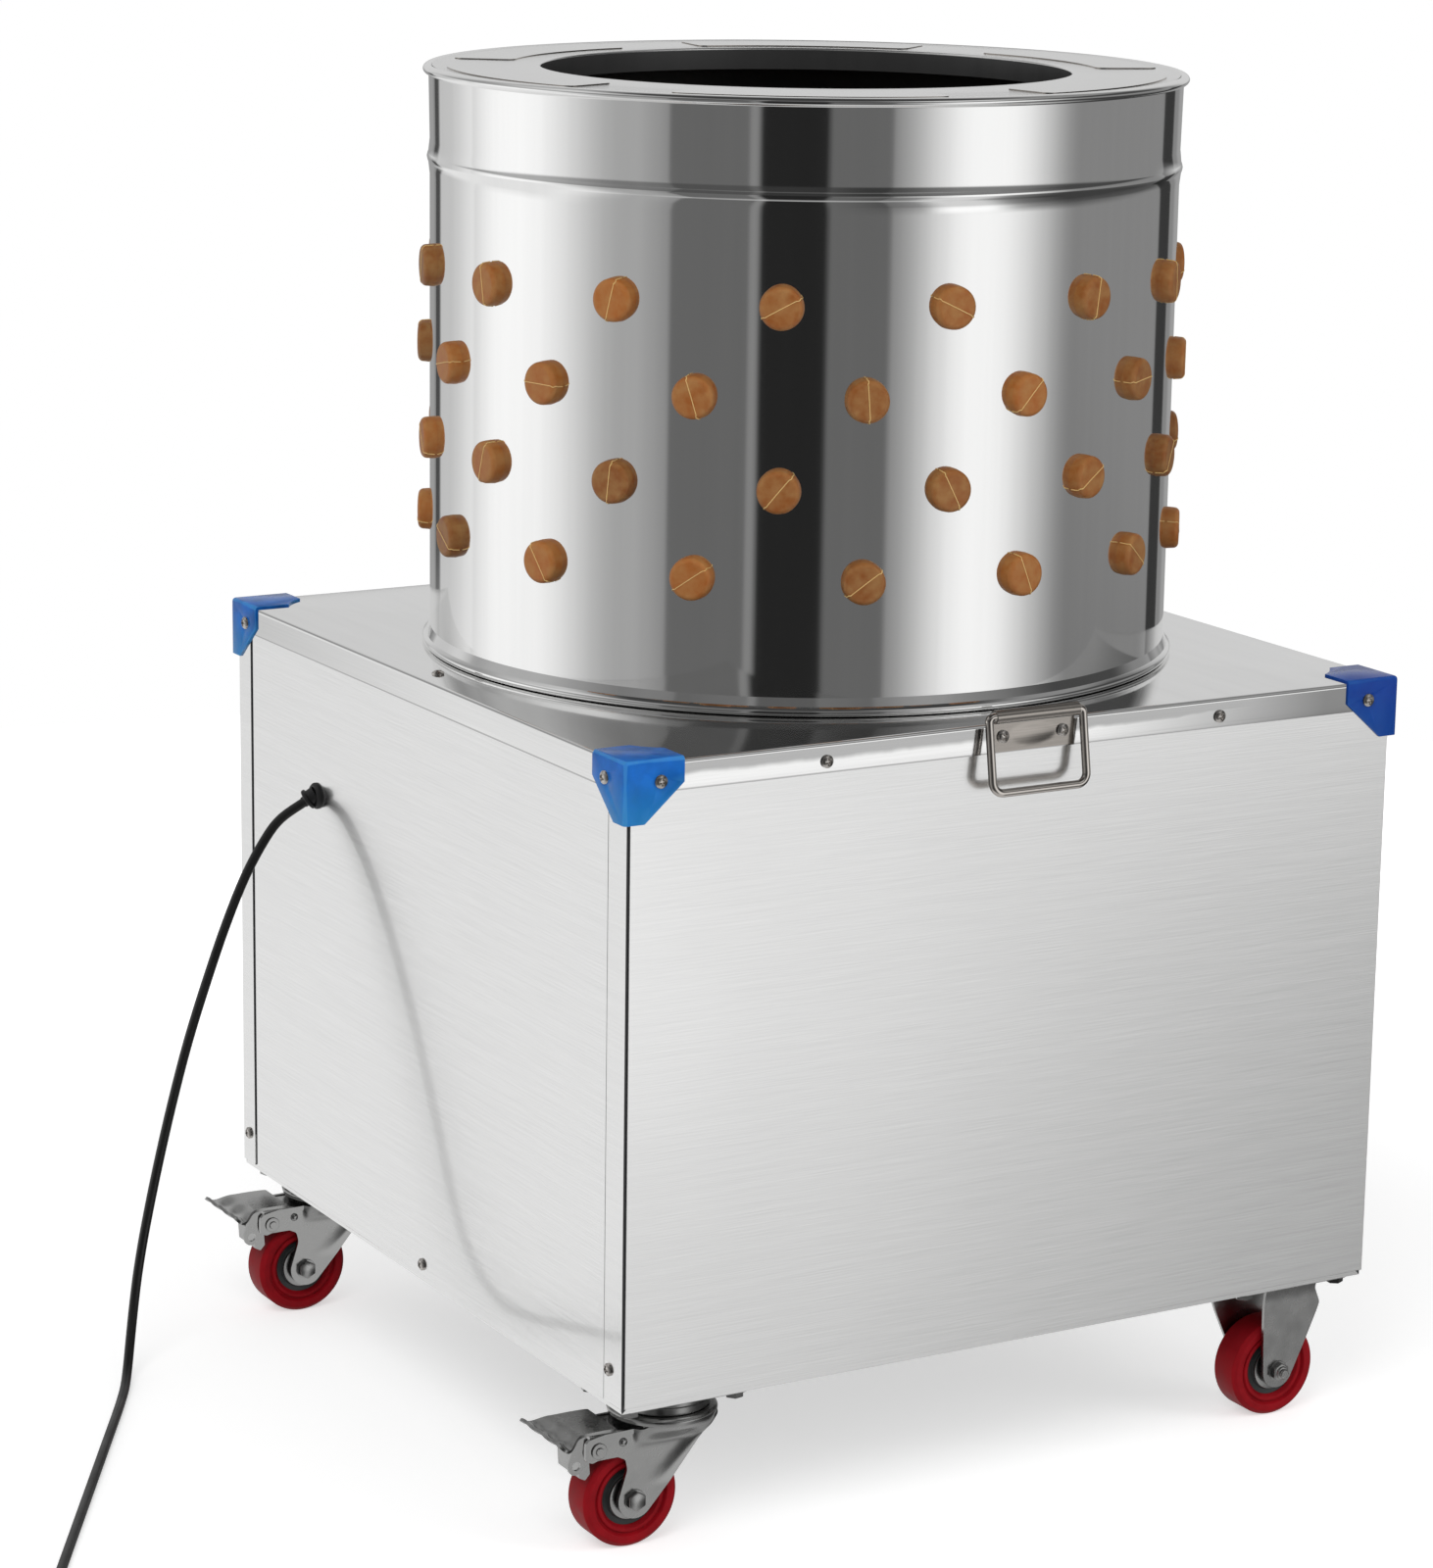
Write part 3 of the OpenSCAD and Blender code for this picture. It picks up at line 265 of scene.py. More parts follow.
# Where the skirt takes painted shade and how far: darker reflections painted on its upper part and right end in
# front and on its rear end, and a painted shadow line along its lower edge
PAINTED_SHADE_GAIN = 0.30
SKIRT_UPPER, SKIRT_UPPER_SHADE = (SKIRT_Z + 0.009, SKIRT_Z + 0.014), 0.70
SKIRT_WAVE = 0.006
SKIRT_RIGHT = (0.04, 0.28)
SKIRT_FRONT = (0.004 - SKIRT, 0.001 - SKIRT)
SKIRT_REAR, SKIRT_REAR_SHADE = (-0.10, SKIRT), 0.36
SKIRT_HEM, SKIRT_HEM_SHADE = (SKIRT_Z + 0.0016, SKIRT_Z + 0.0008), 0.65
# Where the guards take painted light and how far: a painted glow at the lower tip, painted highlights along the
# bends, painted shade towards the right
GUARD_GLOW_SPAN = (TOP_Z - 0.008, TOP_Z - 0.046)
GUARD_HIGHLIGHT_BEND, BEND_HIGHLIGHT = (0.28, 0.50), 0.45
GUARD_SHADE_SHARE = 0.85


def streak_group():
    """Fine streaks along one direction, with broad cloudy variation: brushing and rolling marks."""
    graph, given, result = new_group("Streaks", "ShaderNodeTree", [
        ("Stretch", "NodeSocketVector", (3.0, 3.0, 900.0)), ("Clouds", "NodeSocketFloat", 3.0)],
        [("Streak", "NodeSocketFloat"), ("Cloud", "NodeSocketFloat")])
    place = graph.add("ShaderNodeTexCoord").outputs["Object"]

    def scaled(vector, factor):
        return graph.add("ShaderNodeVectorMath", {0: vector, 1: factor}, operation="MULTIPLY").outputs[0]

    drawn = scaled(place, given["Stretch"])
    fine = graph.noise(drawn, 1.0, 3.0, 0.6)
    coarse = graph.noise(scaled(drawn, BROAD_STREAKS), 1.0)
    both = graph.math("ADD", graph.math("MULTIPLY", fine, FINE_SHARE),
                      graph.math("MULTIPLY", coarse, 1 - FINE_SHARE))
    clouds = graph.noise(place, given["Clouds"], 3.0)
    graph.feed(result, {"Streak": graph.ramp(both, *STREAK_CONTRAST), "Cloud": graph.ramp(clouds, *CONTRAST)})
    return graph.tree


def mottle_group():
    """Fine grain and soft blotches: plating, castings, mouldings and rubber."""
    graph, given, result = new_group("Mottle", "ShaderNodeTree", [
        ("Grain", "NodeSocketFloat", 900.0), ("Blotch", "NodeSocketFloat", 40.0)],
        [("Grain", "NodeSocketFloat"), ("Blotch", "NodeSocketFloat")])
    place = graph.add("ShaderNodeTexCoord").outputs["Object"]
    for label, detail in (("Grain", 2.0), ("Blotch", 4.0)):
        graph.feed(result, {label: graph.ramp(graph.noise(place, given[label], detail), *CONTRAST)})
    return graph.tree


class Finishes:
    """All materials of the part, made once."""

    def __init__(self, colours):
        self.streaks = streak_group()
        self.mottle = mottle_group()
        steel = dict(metallic=1.0)
        self.panel = self.streaked("brushed_sheet", colours.panel, (0.17, 0.26), (15, 15, 1150), 0.075, 0.05,
                                   **steel, coat=1.0)
        self.top = self.streaked("top_sheet", colours.drum, (0.05, 0.11), (40, 3, 40), 0.05, 0.04, **steel)
        # The skirt's colour carries painted shade
        self.skirt = self.streaked("skirt_sheet", colours.drum, (0.08, 0.16), (6, 6, 700), 0.06, 0.06, **steel,
                                   shaded=self.skirt_painted_shade)
        self.hinge = self.streaked("plate_sheet_and_shade", colours.hinge, (0.14, 0.26), (8, 8, 900), 0.10, 0.06, **steel)
        self.drum = self.streaked("polished_sheet", colours.drum, (0.035, 0.085), (60, 60, 1.2), 0.03, 0.02,
                                  **steel)
        self.ring = self.streaked("ring_sheet", colours.drum, (0.16, 0.28), (14, 14, 14), 0.05, 0.05, **steel)
        self.inside = self.streaked("painted_shade_steel", colours.inside, (0.25, 0.40), (60, 60, 2), 0.10, 0.05,
                                    metallic=0.2)
        self.zinc = self.mottled("zinc_plate", colours.zinc, (0.20, 0.30), 700.0, 60.0, 0.08, 0.04, **steel)
        self.rod = self.mottled("polished_rod", colours.rod, (0.06, 0.12), 400.0, 30.0, 0.05, 0.02, **steel)
        self.screw = self.mottled("screw_plate", colours.screw, (0.18, 0.34), 900.0, 120.0, 0.18, 0.05, **steel)
        self.iron = self.mottled("cast_iron", colours.iron, (0.42, 0.62), 500.0, 40.0, 0.25, 0.20, metallic=0.8)
        self.frame = self.mottled("frame_enamel", colours.frame, (0.35, 0.50), 600.0, 25.0, 0.15, 0.08)
        self.black = self.mottled("black_moulding", colours.black, (0.38, 0.55), 1200.0, 40.0, 0.20, 0.12)
        self.cord = self.mottled("cord_sheath", colours.cord, (0.34, 0.46), 800.0, 30.0, 0.20, 0.05)
        self.belt = self.mottled("belt_rubber", colours.cord, (0.60, 0.80), 900.0, 60.0, 0.30, 0.20)
        self.tyre = self.mottled("cast_tyre", colours.tyre, (0.40, 0.55), 600.0, 70.0, 0.14, 0.05, shine=0.12)
        self.hub = self.mottled("hub_moulding", colours.hub, (0.34, 0.50), 900.0, 60.0, 0.20, 0.10)
        self.start = self.mottled("start_cap", colours.start, (0.22, 0.32), 700.0, 40.0, 0.10, 0.04, coat=0.3)
        self.stop = self.mottled("stop_cap", colours.stop, (0.22, 0.32), 700.0, 40.0, 0.10, 0.04, coat=0.3)
        self.blue = self.guard_plastic(colours)
        self.rubber = self.finger_rubber(colours)

    def begin(self, name, metallic, coat, shine=0.5):
        """A new material with its graph and its shader."""
        made = bpy.data.materials.new(name)
        made.use_nodes = True
        graph = Graph(made.node_tree)
        rough, bending = METAL_COAT if metallic else PLASTIC_COAT
        shader = graph.add("ShaderNodeBsdfPrincipled", {
            "Metallic": metallic, "Specular IOR Level": shine, "Coat Weight": coat, "Coat Roughness": rough,
            "Coat IOR": bending})
        graph.add("ShaderNodeOutputMaterial", {"Surface": shader.outputs["BSDF"]})
        return made, graph, shader

    def surface(self, graph, shader, shade, mark, rough, height, bump):
        """Gives a shader its colour, its roughness along a mark and its bump."""
        made = graph.add("ShaderNodeBump", {"Height": height, "Strength": bump, "Distance": BUMP_DEPTH})
        graph.feed(shader, {"Base Color": shade, "Roughness": graph.ramp(mark, 0.0, 1.0, *rough),
                            "Normal": made.outputs["Normal"]})

    def streaked(self, name, rgb, rough, stretch, contrast, bump, metallic, coat=0.0, shaded=None):
        """Sheet steel with brushing or rolling marks, and painted shade where shaded gives it."""
        made, graph, shader = self.begin(name, metallic, coat)
        streak, cloud = graph.add("ShaderNodeGroup", node_tree=self.streaks).outputs
        graph.feed(streak.node, {"Stretch": stretch})
        shade = graph.blend(streak, rgba(rgb, 1 - contrast), rgba(rgb, 1 + contrast))
        if shaded:
            # Painted shade: the colour turns darker where shaded gives a share
            shade = graph.blend(shaded(graph), shade, rgba(rgb, PAINTED_SHADE_GAIN))
        mixed = graph.math("ADD", graph.math("MULTIPLY", streak, 0.5), graph.math("MULTIPLY", cloud, 0.5))
        self.surface(graph, shader, shade, mixed, rough, streak, bump)
        return made

    def mottled(self, name, rgb, rough, grain, blotch, contrast, bump, metallic=0.0, coat=0.0, shine=0.5):
        """Plating, castings and mouldings with a fine grain and soft blotches."""
        made, graph, shader = self.begin(name, metallic, coat, shine)
        effect = graph.add("ShaderNodeGroup", {"Grain": grain, "Blotch": blotch}, node_tree=self.mottle)
        shade = graph.blend(effect.outputs["Blotch"], rgba(rgb, 1 - contrast), rgba(rgb, 1 + contrast))
        self.surface(graph, shader, shade, effect.outputs["Blotch"], rough, effect.outputs["Grain"], bump)
        return made

    def skirt_painted_shade(self, graph):
        """Painted shade on the folded skirt: darker reflections painted on its upper part and right end in
        front and on its rear end, and a painted shadow line along its lower edge.
        """
        place = graph.add("ShaderNodeTexCoord").outputs["Object"]
        x, y, z = graph.add("ShaderNodeSeparateXYZ", {0: place}).outputs
        uneven = graph.math("MULTIPLY", graph.math("SUBTRACT", graph.noise(place, 30.0, 3.0), 0.5), SKIRT_WAVE)
        wavy = graph.math("ADD", z, uneven)
        above = graph.ramp(wavy, *SKIRT_UPPER, 0.0, SKIRT_UPPER_SHADE, smooth=True)
        right = graph.ramp(x, *SKIRT_RIGHT)
        front = graph.math("MULTIPLY", graph.math("MAXIMUM", above, right), graph.ramp(y, *SKIRT_FRONT))
        rear = graph.ramp(y, *SKIRT_REAR, 0.0, SKIRT_REAR_SHADE)
        edge = graph.ramp(z, *SKIRT_HEM, 0.0, SKIRT_HEM_SHADE)
        return graph.math("MAXIMUM", graph.math("MAXIMUM", front, rear), edge)

    def guard_plastic(self, colours):
        """Glossy blue plastic that lets light through, with painted highlights along its edges, a painted glow
        towards its lower tip and painted shade towards the right.
        """
        made, graph, shader = self.begin("blue_moulding", 0.0, 0.0, 0.12)
        grain, blotch = graph.add("ShaderNodeGroup", {"Grain": 500.0, "Blotch": 45.0},
                                  node_tree=self.mottle).outputs
        place = graph.add("ShaderNodeTexCoord").outputs["Object"]
        way = graph.add("ShaderNodeSeparateXYZ", {0: place}).outputs
        tip = graph.ramp(way["Z"], *GUARD_GLOW_SPAN)
        faced = graph.add("ShaderNodeVectorMath", {0: graph.add("ShaderNodeNewGeometry").outputs["Normal"]},
                          operation="ABSOLUTE").outputs[0]
        nx, ny, nz = graph.add("ShaderNodeSeparateXYZ", {0: faced}).outputs
        sides = [graph.math("MULTIPLY", u, v) for u, v in ((nx, ny), (ny, nz), (nz, nx))]
        bend = graph.math("ADD", graph.math("ADD", *sides[:2]), sides[2])
        edge = graph.ramp(bend, *GUARD_HIGHLIGHT_BEND, 0.0, BEND_HIGHLIGHT)
        shade = graph.blend(blotch, rgba(colours.blue, 0.80), rgba(colours.blue, 1.45))
        # Painted glow at the lower tip, painted highlights along the bends, painted shade towards the right
        shade = graph.blend(tip, shade, rgba(colours.painted_blue_glow))
        shade = graph.blend(edge, shade, rgba(colours.painted_blue_highlight))
        shade = graph.blend(graph.ramp(way["X"], 0.0, SKIRT, 0.0, GUARD_SHADE_SHARE), shade, rgba(colours.painted_blue_shade))
        graph.feed(shader, {"Subsurface Weight": 0.25, "Subsurface Radius": (0.001, 0.002, 0.006)})
        self.surface(graph, shader, shade, blotch, (0.10, 0.22), grain, 0.03)
        return made

    def finger_rubber(self, colours):
        """Natural rubber, each finger in its own tone, with a pale moulding ridge."""
        made, graph, shader = self.begin("finger_rubber", 0.0, 0.08)
        grain, blotch = graph.add("ShaderNodeGroup", {"Grain": 700.0, "Blotch": 110.0},
                                  node_tree=self.mottle).outputs
        tone = graph.add("ShaderNodeAttribute", attribute_name="tone").outputs["Fac"]
        flash = graph.add("ShaderNodeAttribute", attribute_name="flash").outputs["Fac"]
        own = graph.blend(tone, rgba(colours.rubber, 0.70), rgba(colours.rubber, 1.28))
        dusty = graph.blend(graph.math("MULTIPLY", blotch, 0.30), own, rgba(colours.rubber_pale, 0.75))
        shade = graph.blend(flash, dusty, rgba(colours.rubber_pale))
        graph.feed(shader, {"Subsurface Weight": 0.15, "Subsurface Radius": (0.004, 0.002, 0.001)})
        self.surface(graph, shader, shade, blotch, (0.42, 0.62), grain, 0.10)
        return made


FINISH = {}


def finish(name):
    """A material by its name in Finishes, made with the scene's colours on first use."""
    if "all" not in FINISH:
        FINISH["all"] = Finishes(bpy.context.scene.plucker_finish)
    return getattr(FINISH["all"], name)


# Shapes


def rounded(corners, step=math.radians(10)):
    """A closed outline from corners (u, v, radius): each corner becomes an arc that touches both its edges."""
    points = []
    count = len(corners)
    for i, (u, v, radius) in enumerate(corners):
        here = Vector((u, v))
        back = (Vector(corners[i - 1][:2]) - here)
        ahead = (Vector(corners[(i + 1) % count][:2]) - here)
        bend = back.angle(ahead)
        if radius <= 0 or bend > math.pi - 0.01:
            points.append(here)
            continue
        room = 0.49 * min(back.length, ahead.length)
        cut = min(radius / math.tan(bend / 2), room)
        radius = cut * math.tan(bend / 2)
        middle = here + (back.normalized() + ahead.normalized()).normalized() * radius / math.sin(bend / 2)
        first = here + back.normalized() * cut - middle
        last = here + ahead.normalized() * cut - middle
        sweep = first.angle_signed(last)
        parts = max(2, math.ceil(abs(sweep) / step))
        for k in range(parts + 1):
            points.append(middle + Matrix.Rotation(-sweep * k / parts, 2) @ first)
    return points


def arc(centre, radius, start, end, parts):
    """Points on an arc in a profile, from one angle to another in degrees."""
    angles = [math.radians(start + (end - start) * k / parts) for k in range(parts + 1)]
    return [(centre[0] + radius * math.cos(a), centre[1] + radius * math.sin(a)) for a in angles]


def lathe(profile, turns, place=None, closed=True):
    """A profile of (radius, height) turned about +Z, then moved by a matrix."""
    bm = bmesh.new()
    rings = []
    for k in range(turns):
        c, s = math.cos(FULL_TURN * k / turns), math.sin(FULL_TURN * k / turns)
        rings.append([bm.verts.new((r * c, r * s, z)) for r, z in profile])
    spans = len(profile) if closed else len(profile) - 1
    for k in range(turns):
        here, there = rings[k], rings[(k + 1) % turns]
        for i in range(spans):
            j = (i + 1) % len(profile)
            bm.faces.new((here[i], there[i], there[j], here[j]))
    return settled(bm, place)


def settled(bm, place=None):
    """Merges doubles, moves the shape and turns its faces outwards."""
    if place is not None:
        bmesh.ops.transform(bm, matrix=place, verts=bm.verts)
    bmesh.ops.remove_doubles(bm, verts=bm.verts, dist=1e-6)
    bmesh.ops.dissolve_degenerate(bm, dist=1e-7, edges=bm.edges)
    bmesh.ops.recalc_face_normals(bm, faces=bm.faces)
    return bm


def plate(outline, thickness, place=None, holes=()):
    """A flat outline with holes, given thickness along +Z, then moved by a matrix."""
    bm = bmesh.new()
    edges = []
    for loop in (outline, *holes):
        verts = [bm.verts.new((p[0], p[1], 0)) for p in loop]
        edges += [bm.edges.new((verts[i - 1], verts[i])) for i in range(len(verts))]
    bmesh.ops.triangle_fill(bm, use_beauty=True, use_dissolve=False, edges=edges)
    made = bmesh.ops.extrude_face_region(bm, geom=bm.faces[:])["geom"]
    lifted = [v for v in made if isinstance(v, bmesh.types.BMVert)]
    bmesh.ops.translate(bm, vec=(0, 0, thickness), verts=lifted)
    return settled(bm, place)


def circle(centre, radius, parts):
    """Points round a circle."""
    angles = [FULL_TURN * k / parts for k in range(parts)]
    return [(centre[0] + radius * math.cos(a), centre[1] + radius * math.sin(a)) for a in angles]


def box_outline(u0, u1, v0, v1, radius=0.0):
    """A rectangle, with rounded corners where a radius is given."""
    return rounded([(u0, v0, radius), (u1, v0, radius), (u1, v1, radius), (u0, v1, radius)])


def block(x0, x1, y0, y1, z0, z1):
    """A box between its limits."""
    return plate(box_outline(x0, x1, y0, y1), z1 - z0, Matrix.Translation((0, 0, z0)))


def upright(y):
    """Matrix that stands a plate drawn in X and Z at a Y, with its thickness along +Y."""
    return Matrix(((1, 0, 0, 0), (0, 0, 1, y), (0, 1, 0, 0), (0, 0, 0, 1)))


def facing(place, direction):
    """Matrix that turns +Z to a direction and moves the shape to a place."""
    turned = Vector(direction).to_track_quat("Z", "X").to_matrix().to_4x4()
    return Matrix.Translation(place) @ turned


def share_of(value, start, span):
    """How far a value has come on its way from a start over a span, from 0 to 1."""
    return max(0.0, min(1.0, (value - start) / span))


def eased(share):
    """A share from 0 to 1 with a soft start and end."""
    return share * share * (3 - 2 * share)


def skin(bm, rows):
    """Faces between rows of vertices that each close on themselves."""
    return [bm.faces.new((near[k - 1], near[k], far[k], far[k - 1]))
            for near, far in zip(rows, rows[1:]) for k in range(len(near))]


def grid(bm, rows):
    """Faces between open rows of vertices."""
    for near, far in zip(rows, rows[1:]):
        for k in range(len(near) - 1):
            bm.faces.new((near[k], far[k], far[k + 1], near[k + 1]))


def tube(path, radius, sides=20):
    """A closed tube along a path."""
    bm = bmesh.new()
    rings = []
    side = None
    for i, point in enumerate(path):
        ahead = (path[min(i + 1, len(path) - 1)] - path[max(i - 1, 0)]).normalized()
        side = ahead.orthogonal() if side is None else side - ahead * side.dot(ahead)
        side.normalize()
        other = ahead.cross(side)
        rings.append([bm.verts.new(point + u * side + v * other) for u, v in circle((0, 0), radius, sides)])
    skin(bm, rings)
    bm.faces.new(rings[0])
    bm.faces.new(rings[-1])
    return settled(bm)


def join(*parts):
    """Several shapes as one."""
    whole = bmesh.new()
    for part in parts:
        mesh = bpy.data.meshes.new("part")
        part.to_mesh(mesh)
        part.free()
        whole.from_mesh(mesh)
        bpy.data.meshes.remove(mesh)
    return whole


def smoothed(mesh, degrees):
    """The mesh with smooth faces and with sharp edges past an angle."""
    mesh.shade_smooth()
    mesh.set_sharp_from_angle(angle=math.radians(degrees))
    return mesh


def mesh_of(bm, name, smooth=35.0):
    """A smoothed mesh of a shape, which is used up."""
    mesh = bpy.data.meshes.new(name)
    bm.to_mesh(mesh)
    bm.free()
    return smoothed(mesh, smooth)


def opened(mesh):
    """A mesh as a shape that can be worked on."""
    bm = bmesh.new()
    bm.from_mesh(mesh)
    return bm


def linked(name, data):
    """A new object in the scene."""
    made = bpy.data.objects.new(name, data)
    bpy.context.scene.collection.objects.link(made)
    return made


def modified(mesh, *steps):
    """The mesh after modifiers, each given as its kind and a dict of settings."""
    helper = linked("helper", mesh)
    for kind, settings in steps:
        made = helper.modifiers.new(kind.title(), kind)
        for name, value in settings.items():
            setattr(made, name, value)
    graph = bpy.context.evaluated_depsgraph_get()
    result = bpy.data.meshes.new_from_object(helper.evaluated_get(graph))
    bpy.data.objects.remove(helper)
    return result


def bevel(width, segments=2, angle=40.0):
    """The step for modified that rounds edges past an angle in degrees."""
    return ("BEVEL", {"width": width, "segments": segments, "limit_method": "ANGLE",
                      "angle_limit": math.radians(angle), "use_clamp_overlap": True})


def merged(node):
    """A CAD node's shape with its triangles merged to flat faces."""
    bm = opened(frame["nodes"][node].data)
    bmesh.ops.remove_doubles(bm, verts=bm.verts, dist=1e-6)
    bmesh.ops.dissolve_limit(bm, angle_limit=math.radians(0.5), verts=bm.verts, edges=bm.edges)
    return bm


def softened(bm, name, width):
    """A mesh of a shape with its edges rounded."""
    return modified(mesh_of(bm, name), bevel(width))


def add_piece(name, mesh, material, body, slot, *nodes):
    """A finished piece that rides on a body and stands for CAD nodes."""
    mesh.materials.clear()
    mesh.materials.append(finish(material))
    piece = linked(name, mesh)
    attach(piece, body)
    if nodes:
        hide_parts(*nodes)
    return piece


def paint(mesh, pick, *materials):
    """Adds finishes to a mesh and gives each face the one whose number pick finds."""
    for material in materials:
        mesh.materials.append(finish(material))
    for face in mesh.polygons:
        face.material_index = int(pick(face))


# Geometry Nodes

TONE_SEED = 31
TREE_INPUTS = [
    ("Points", "NodeSocketGeometry", None), ("Part", "NodeSocketObject", None),
    ("Finish", "NodeSocketMaterial", None), ("Turn", "NodeSocketFloat", FULL_TURN),
    ("Seed", "NodeSocketInt", 1)]
TREE_OUTPUTS = [("Parts", "NodeSocketGeometry")]


def scatter_tree():
    """Puts a part on each point, its +Z along the point's facing, turned at random about it."""
    graph, given, result = new_group("Scattered parts", "GeometryNodeTree", TREE_INPUTS, TREE_OUTPUTS)
    way = graph.add("GeometryNodeInputNamedAttribute", {"Name": "facing"}, data_type="FLOAT_VECTOR")
    aligned = graph.add("FunctionNodeAlignRotationToVector", {"Vector": way.outputs["Attribute"]}, axis="Z")
    part = graph.add("GeometryNodeObjectInfo", {"Object": given["Part"]})
    placed = graph.add("GeometryNodeInstanceOnPoints", {
        "Points": given["Points"], "Instance": part.outputs["Geometry"],
        "Rotation": aligned.outputs["Rotation"]})
    finish_tree(graph, given, result, placed.outputs["Instances"])
    return graph.tree


def ring_tree():
    """Puts a part at even steps round the +Z axis, tilted from upright and turned at random about itself."""
    graph, given, result = new_group("Ring of parts", "GeometryNodeTree", TREE_INPUTS + [
        ("Count", "NodeSocketInt", 14), ("Radius", "NodeSocketFloat", 0.3), ("Height", "NodeSocketFloat", 0.0),
        ("First", "NodeSocketFloat", 0.0), ("Step", "NodeSocketFloat", 0.4), ("Tilt", "NodeSocketFloat", 0.0)],
        TREE_OUTPUTS)
    line = graph.add("GeometryNodeMeshLine", {"Count": given["Count"]})
    index = graph.add("GeometryNodeInputIndex").outputs[0]
    angle = graph.math("ADD", graph.math("MULTIPLY", index, given["Step"]), given["First"])
    x = graph.math("MULTIPLY", graph.math("COSINE", angle), given["Radius"])
    y = graph.math("MULTIPLY", graph.math("SINE", angle), given["Radius"])
    spot = graph.add("ShaderNodeCombineXYZ", {0: x, 1: y, 2: given["Height"]}).outputs[0]
    moved = graph.add("GeometryNodeSetPosition", {"Geometry": line.outputs["Mesh"], "Position": spot})
    tilt = graph.add("ShaderNodeCombineXYZ", {1: given["Tilt"], 2: angle}).outputs[0]
    aligned = graph.add("FunctionNodeEulerToRotation", {0: tilt}).outputs[0]
    part = graph.add("GeometryNodeObjectInfo", {"Object": given["Part"]})
    placed = graph.add("GeometryNodeInstanceOnPoints", {
        "Points": moved.outputs["Geometry"], "Instance": part.outputs["Geometry"], "Rotation": aligned})
    finish_tree(graph, given, result, placed.outputs["Instances"])
    return graph.tree


def finish_tree(graph, given, result, instances):
    """The common end of both trees: a random turn and tone, then plain geometry with its material."""
    spin = graph.add("FunctionNodeRandomValue", {"Max": given["Turn"], "Seed": given["Seed"]},
                     data_type="FLOAT")
    about = graph.add("ShaderNodeCombineXYZ", {2: spin.outputs["Value"]}).outputs[0]
    turned = graph.add("GeometryNodeRotateInstances", {
        "Instances": instances, "Rotation": graph.add("FunctionNodeEulerToRotation", {0: about}).outputs[0]})
    other = graph.math("ADD", given["Seed"], TONE_SEED)
    tone = graph.add("FunctionNodeRandomValue", {"Seed": other}, data_type="FLOAT")
    toned = graph.add("GeometryNodeStoreNamedAttribute", {
        "Geometry": turned.outputs["Instances"], "Name": "tone", "Value": tone.outputs["Value"]},
        data_type="FLOAT", domain="INSTANCE")
    real = graph.add("GeometryNodeRealizeInstances", {"Geometry": toned.outputs["Geometry"]})
    named = graph.add("GeometryNodeSetMaterial", {
        "Geometry": real.outputs["Geometry"], "Material": given["Finish"]})
    graph.feed(result, {"Parts": named.outputs["Geometry"]})


TREES = {}


def grown(name, make_tree, part, material, points=None, **values):
    """The plain mesh that a tree makes from a part's mesh and its named inputs."""
    if make_tree not in TREES:
        TREES[make_tree] = make_tree()
    tree = TREES[make_tree]
    holder = linked("holder", points or bpy.data.meshes.new("points"))
    model = linked("model", part)
    sockets = {item.name: item.identifier for item in tree.interface.items_tree if item.in_out == "INPUT"}
    modifier = holder.modifiers.new("Grown", "NODES")
    modifier.node_group = tree
    for label, value in {"Part": model, "Finish": finish(material), **values}.items():
        modifier[sockets[label]] = value
    graph = bpy.context.evaluated_depsgraph_get()
    mesh = bpy.data.meshes.new_from_object(holder.evaluated_get(graph))
    mesh.name = name
    for made in (holder, model):
        bpy.data.objects.remove(made)
    return mesh


def spots(places):
    """A mesh of points from pairs of place and facing."""
    mesh = bpy.data.meshes.new("spots")
    mesh.from_pydata([p for p, _ in places], [], [])
    ways = mesh.attributes.new("facing", "FLOAT_VECTOR", "POINT")
    ways.data.foreach_set("vector", [c for _, d in places for c in d])
    return mesh


# Stage


SENSOR = 36.0
FLOOR_GRAIN = 0.005
FLOOR_FADE = (0.7, 1.8)
KEY_PLACE, KEY_SIZE = (-2.4, -2.2, 3.4), 2.4
FILL_PLACE, FILL_SIZE = (2.6, -2.8, 2.2), 2.0
LAMP_AIM = Vector((0, 0, 0.5))


def add_camera(scene, stage):
    """The camera fitted to the photograph."""
    eye, aim = Vector(stage.eye), Vector(stage.aim)
    ahead = (aim - eye).normalized()
    right = ahead.cross(Vector((0, 0, 1))).normalized()
    up = right.cross(ahead)
    c, s = math.cos(stage.roll), math.sin(stage.roll)
    axes = (c * right + s * up, c * up - s * right, -ahead)
    camera = bpy.data.cameras.new("camera")
    camera.sensor_fit = "VERTICAL"
    camera.sensor_height = SENSOR
    camera.lens = stage.lens
    camera.clip_end = 50.0
    holder = linked("camera", camera)
    holder.matrix_world = Matrix.Translation(eye) @ Matrix(axes).transposed().to_4x4()
    scene.camera = holder


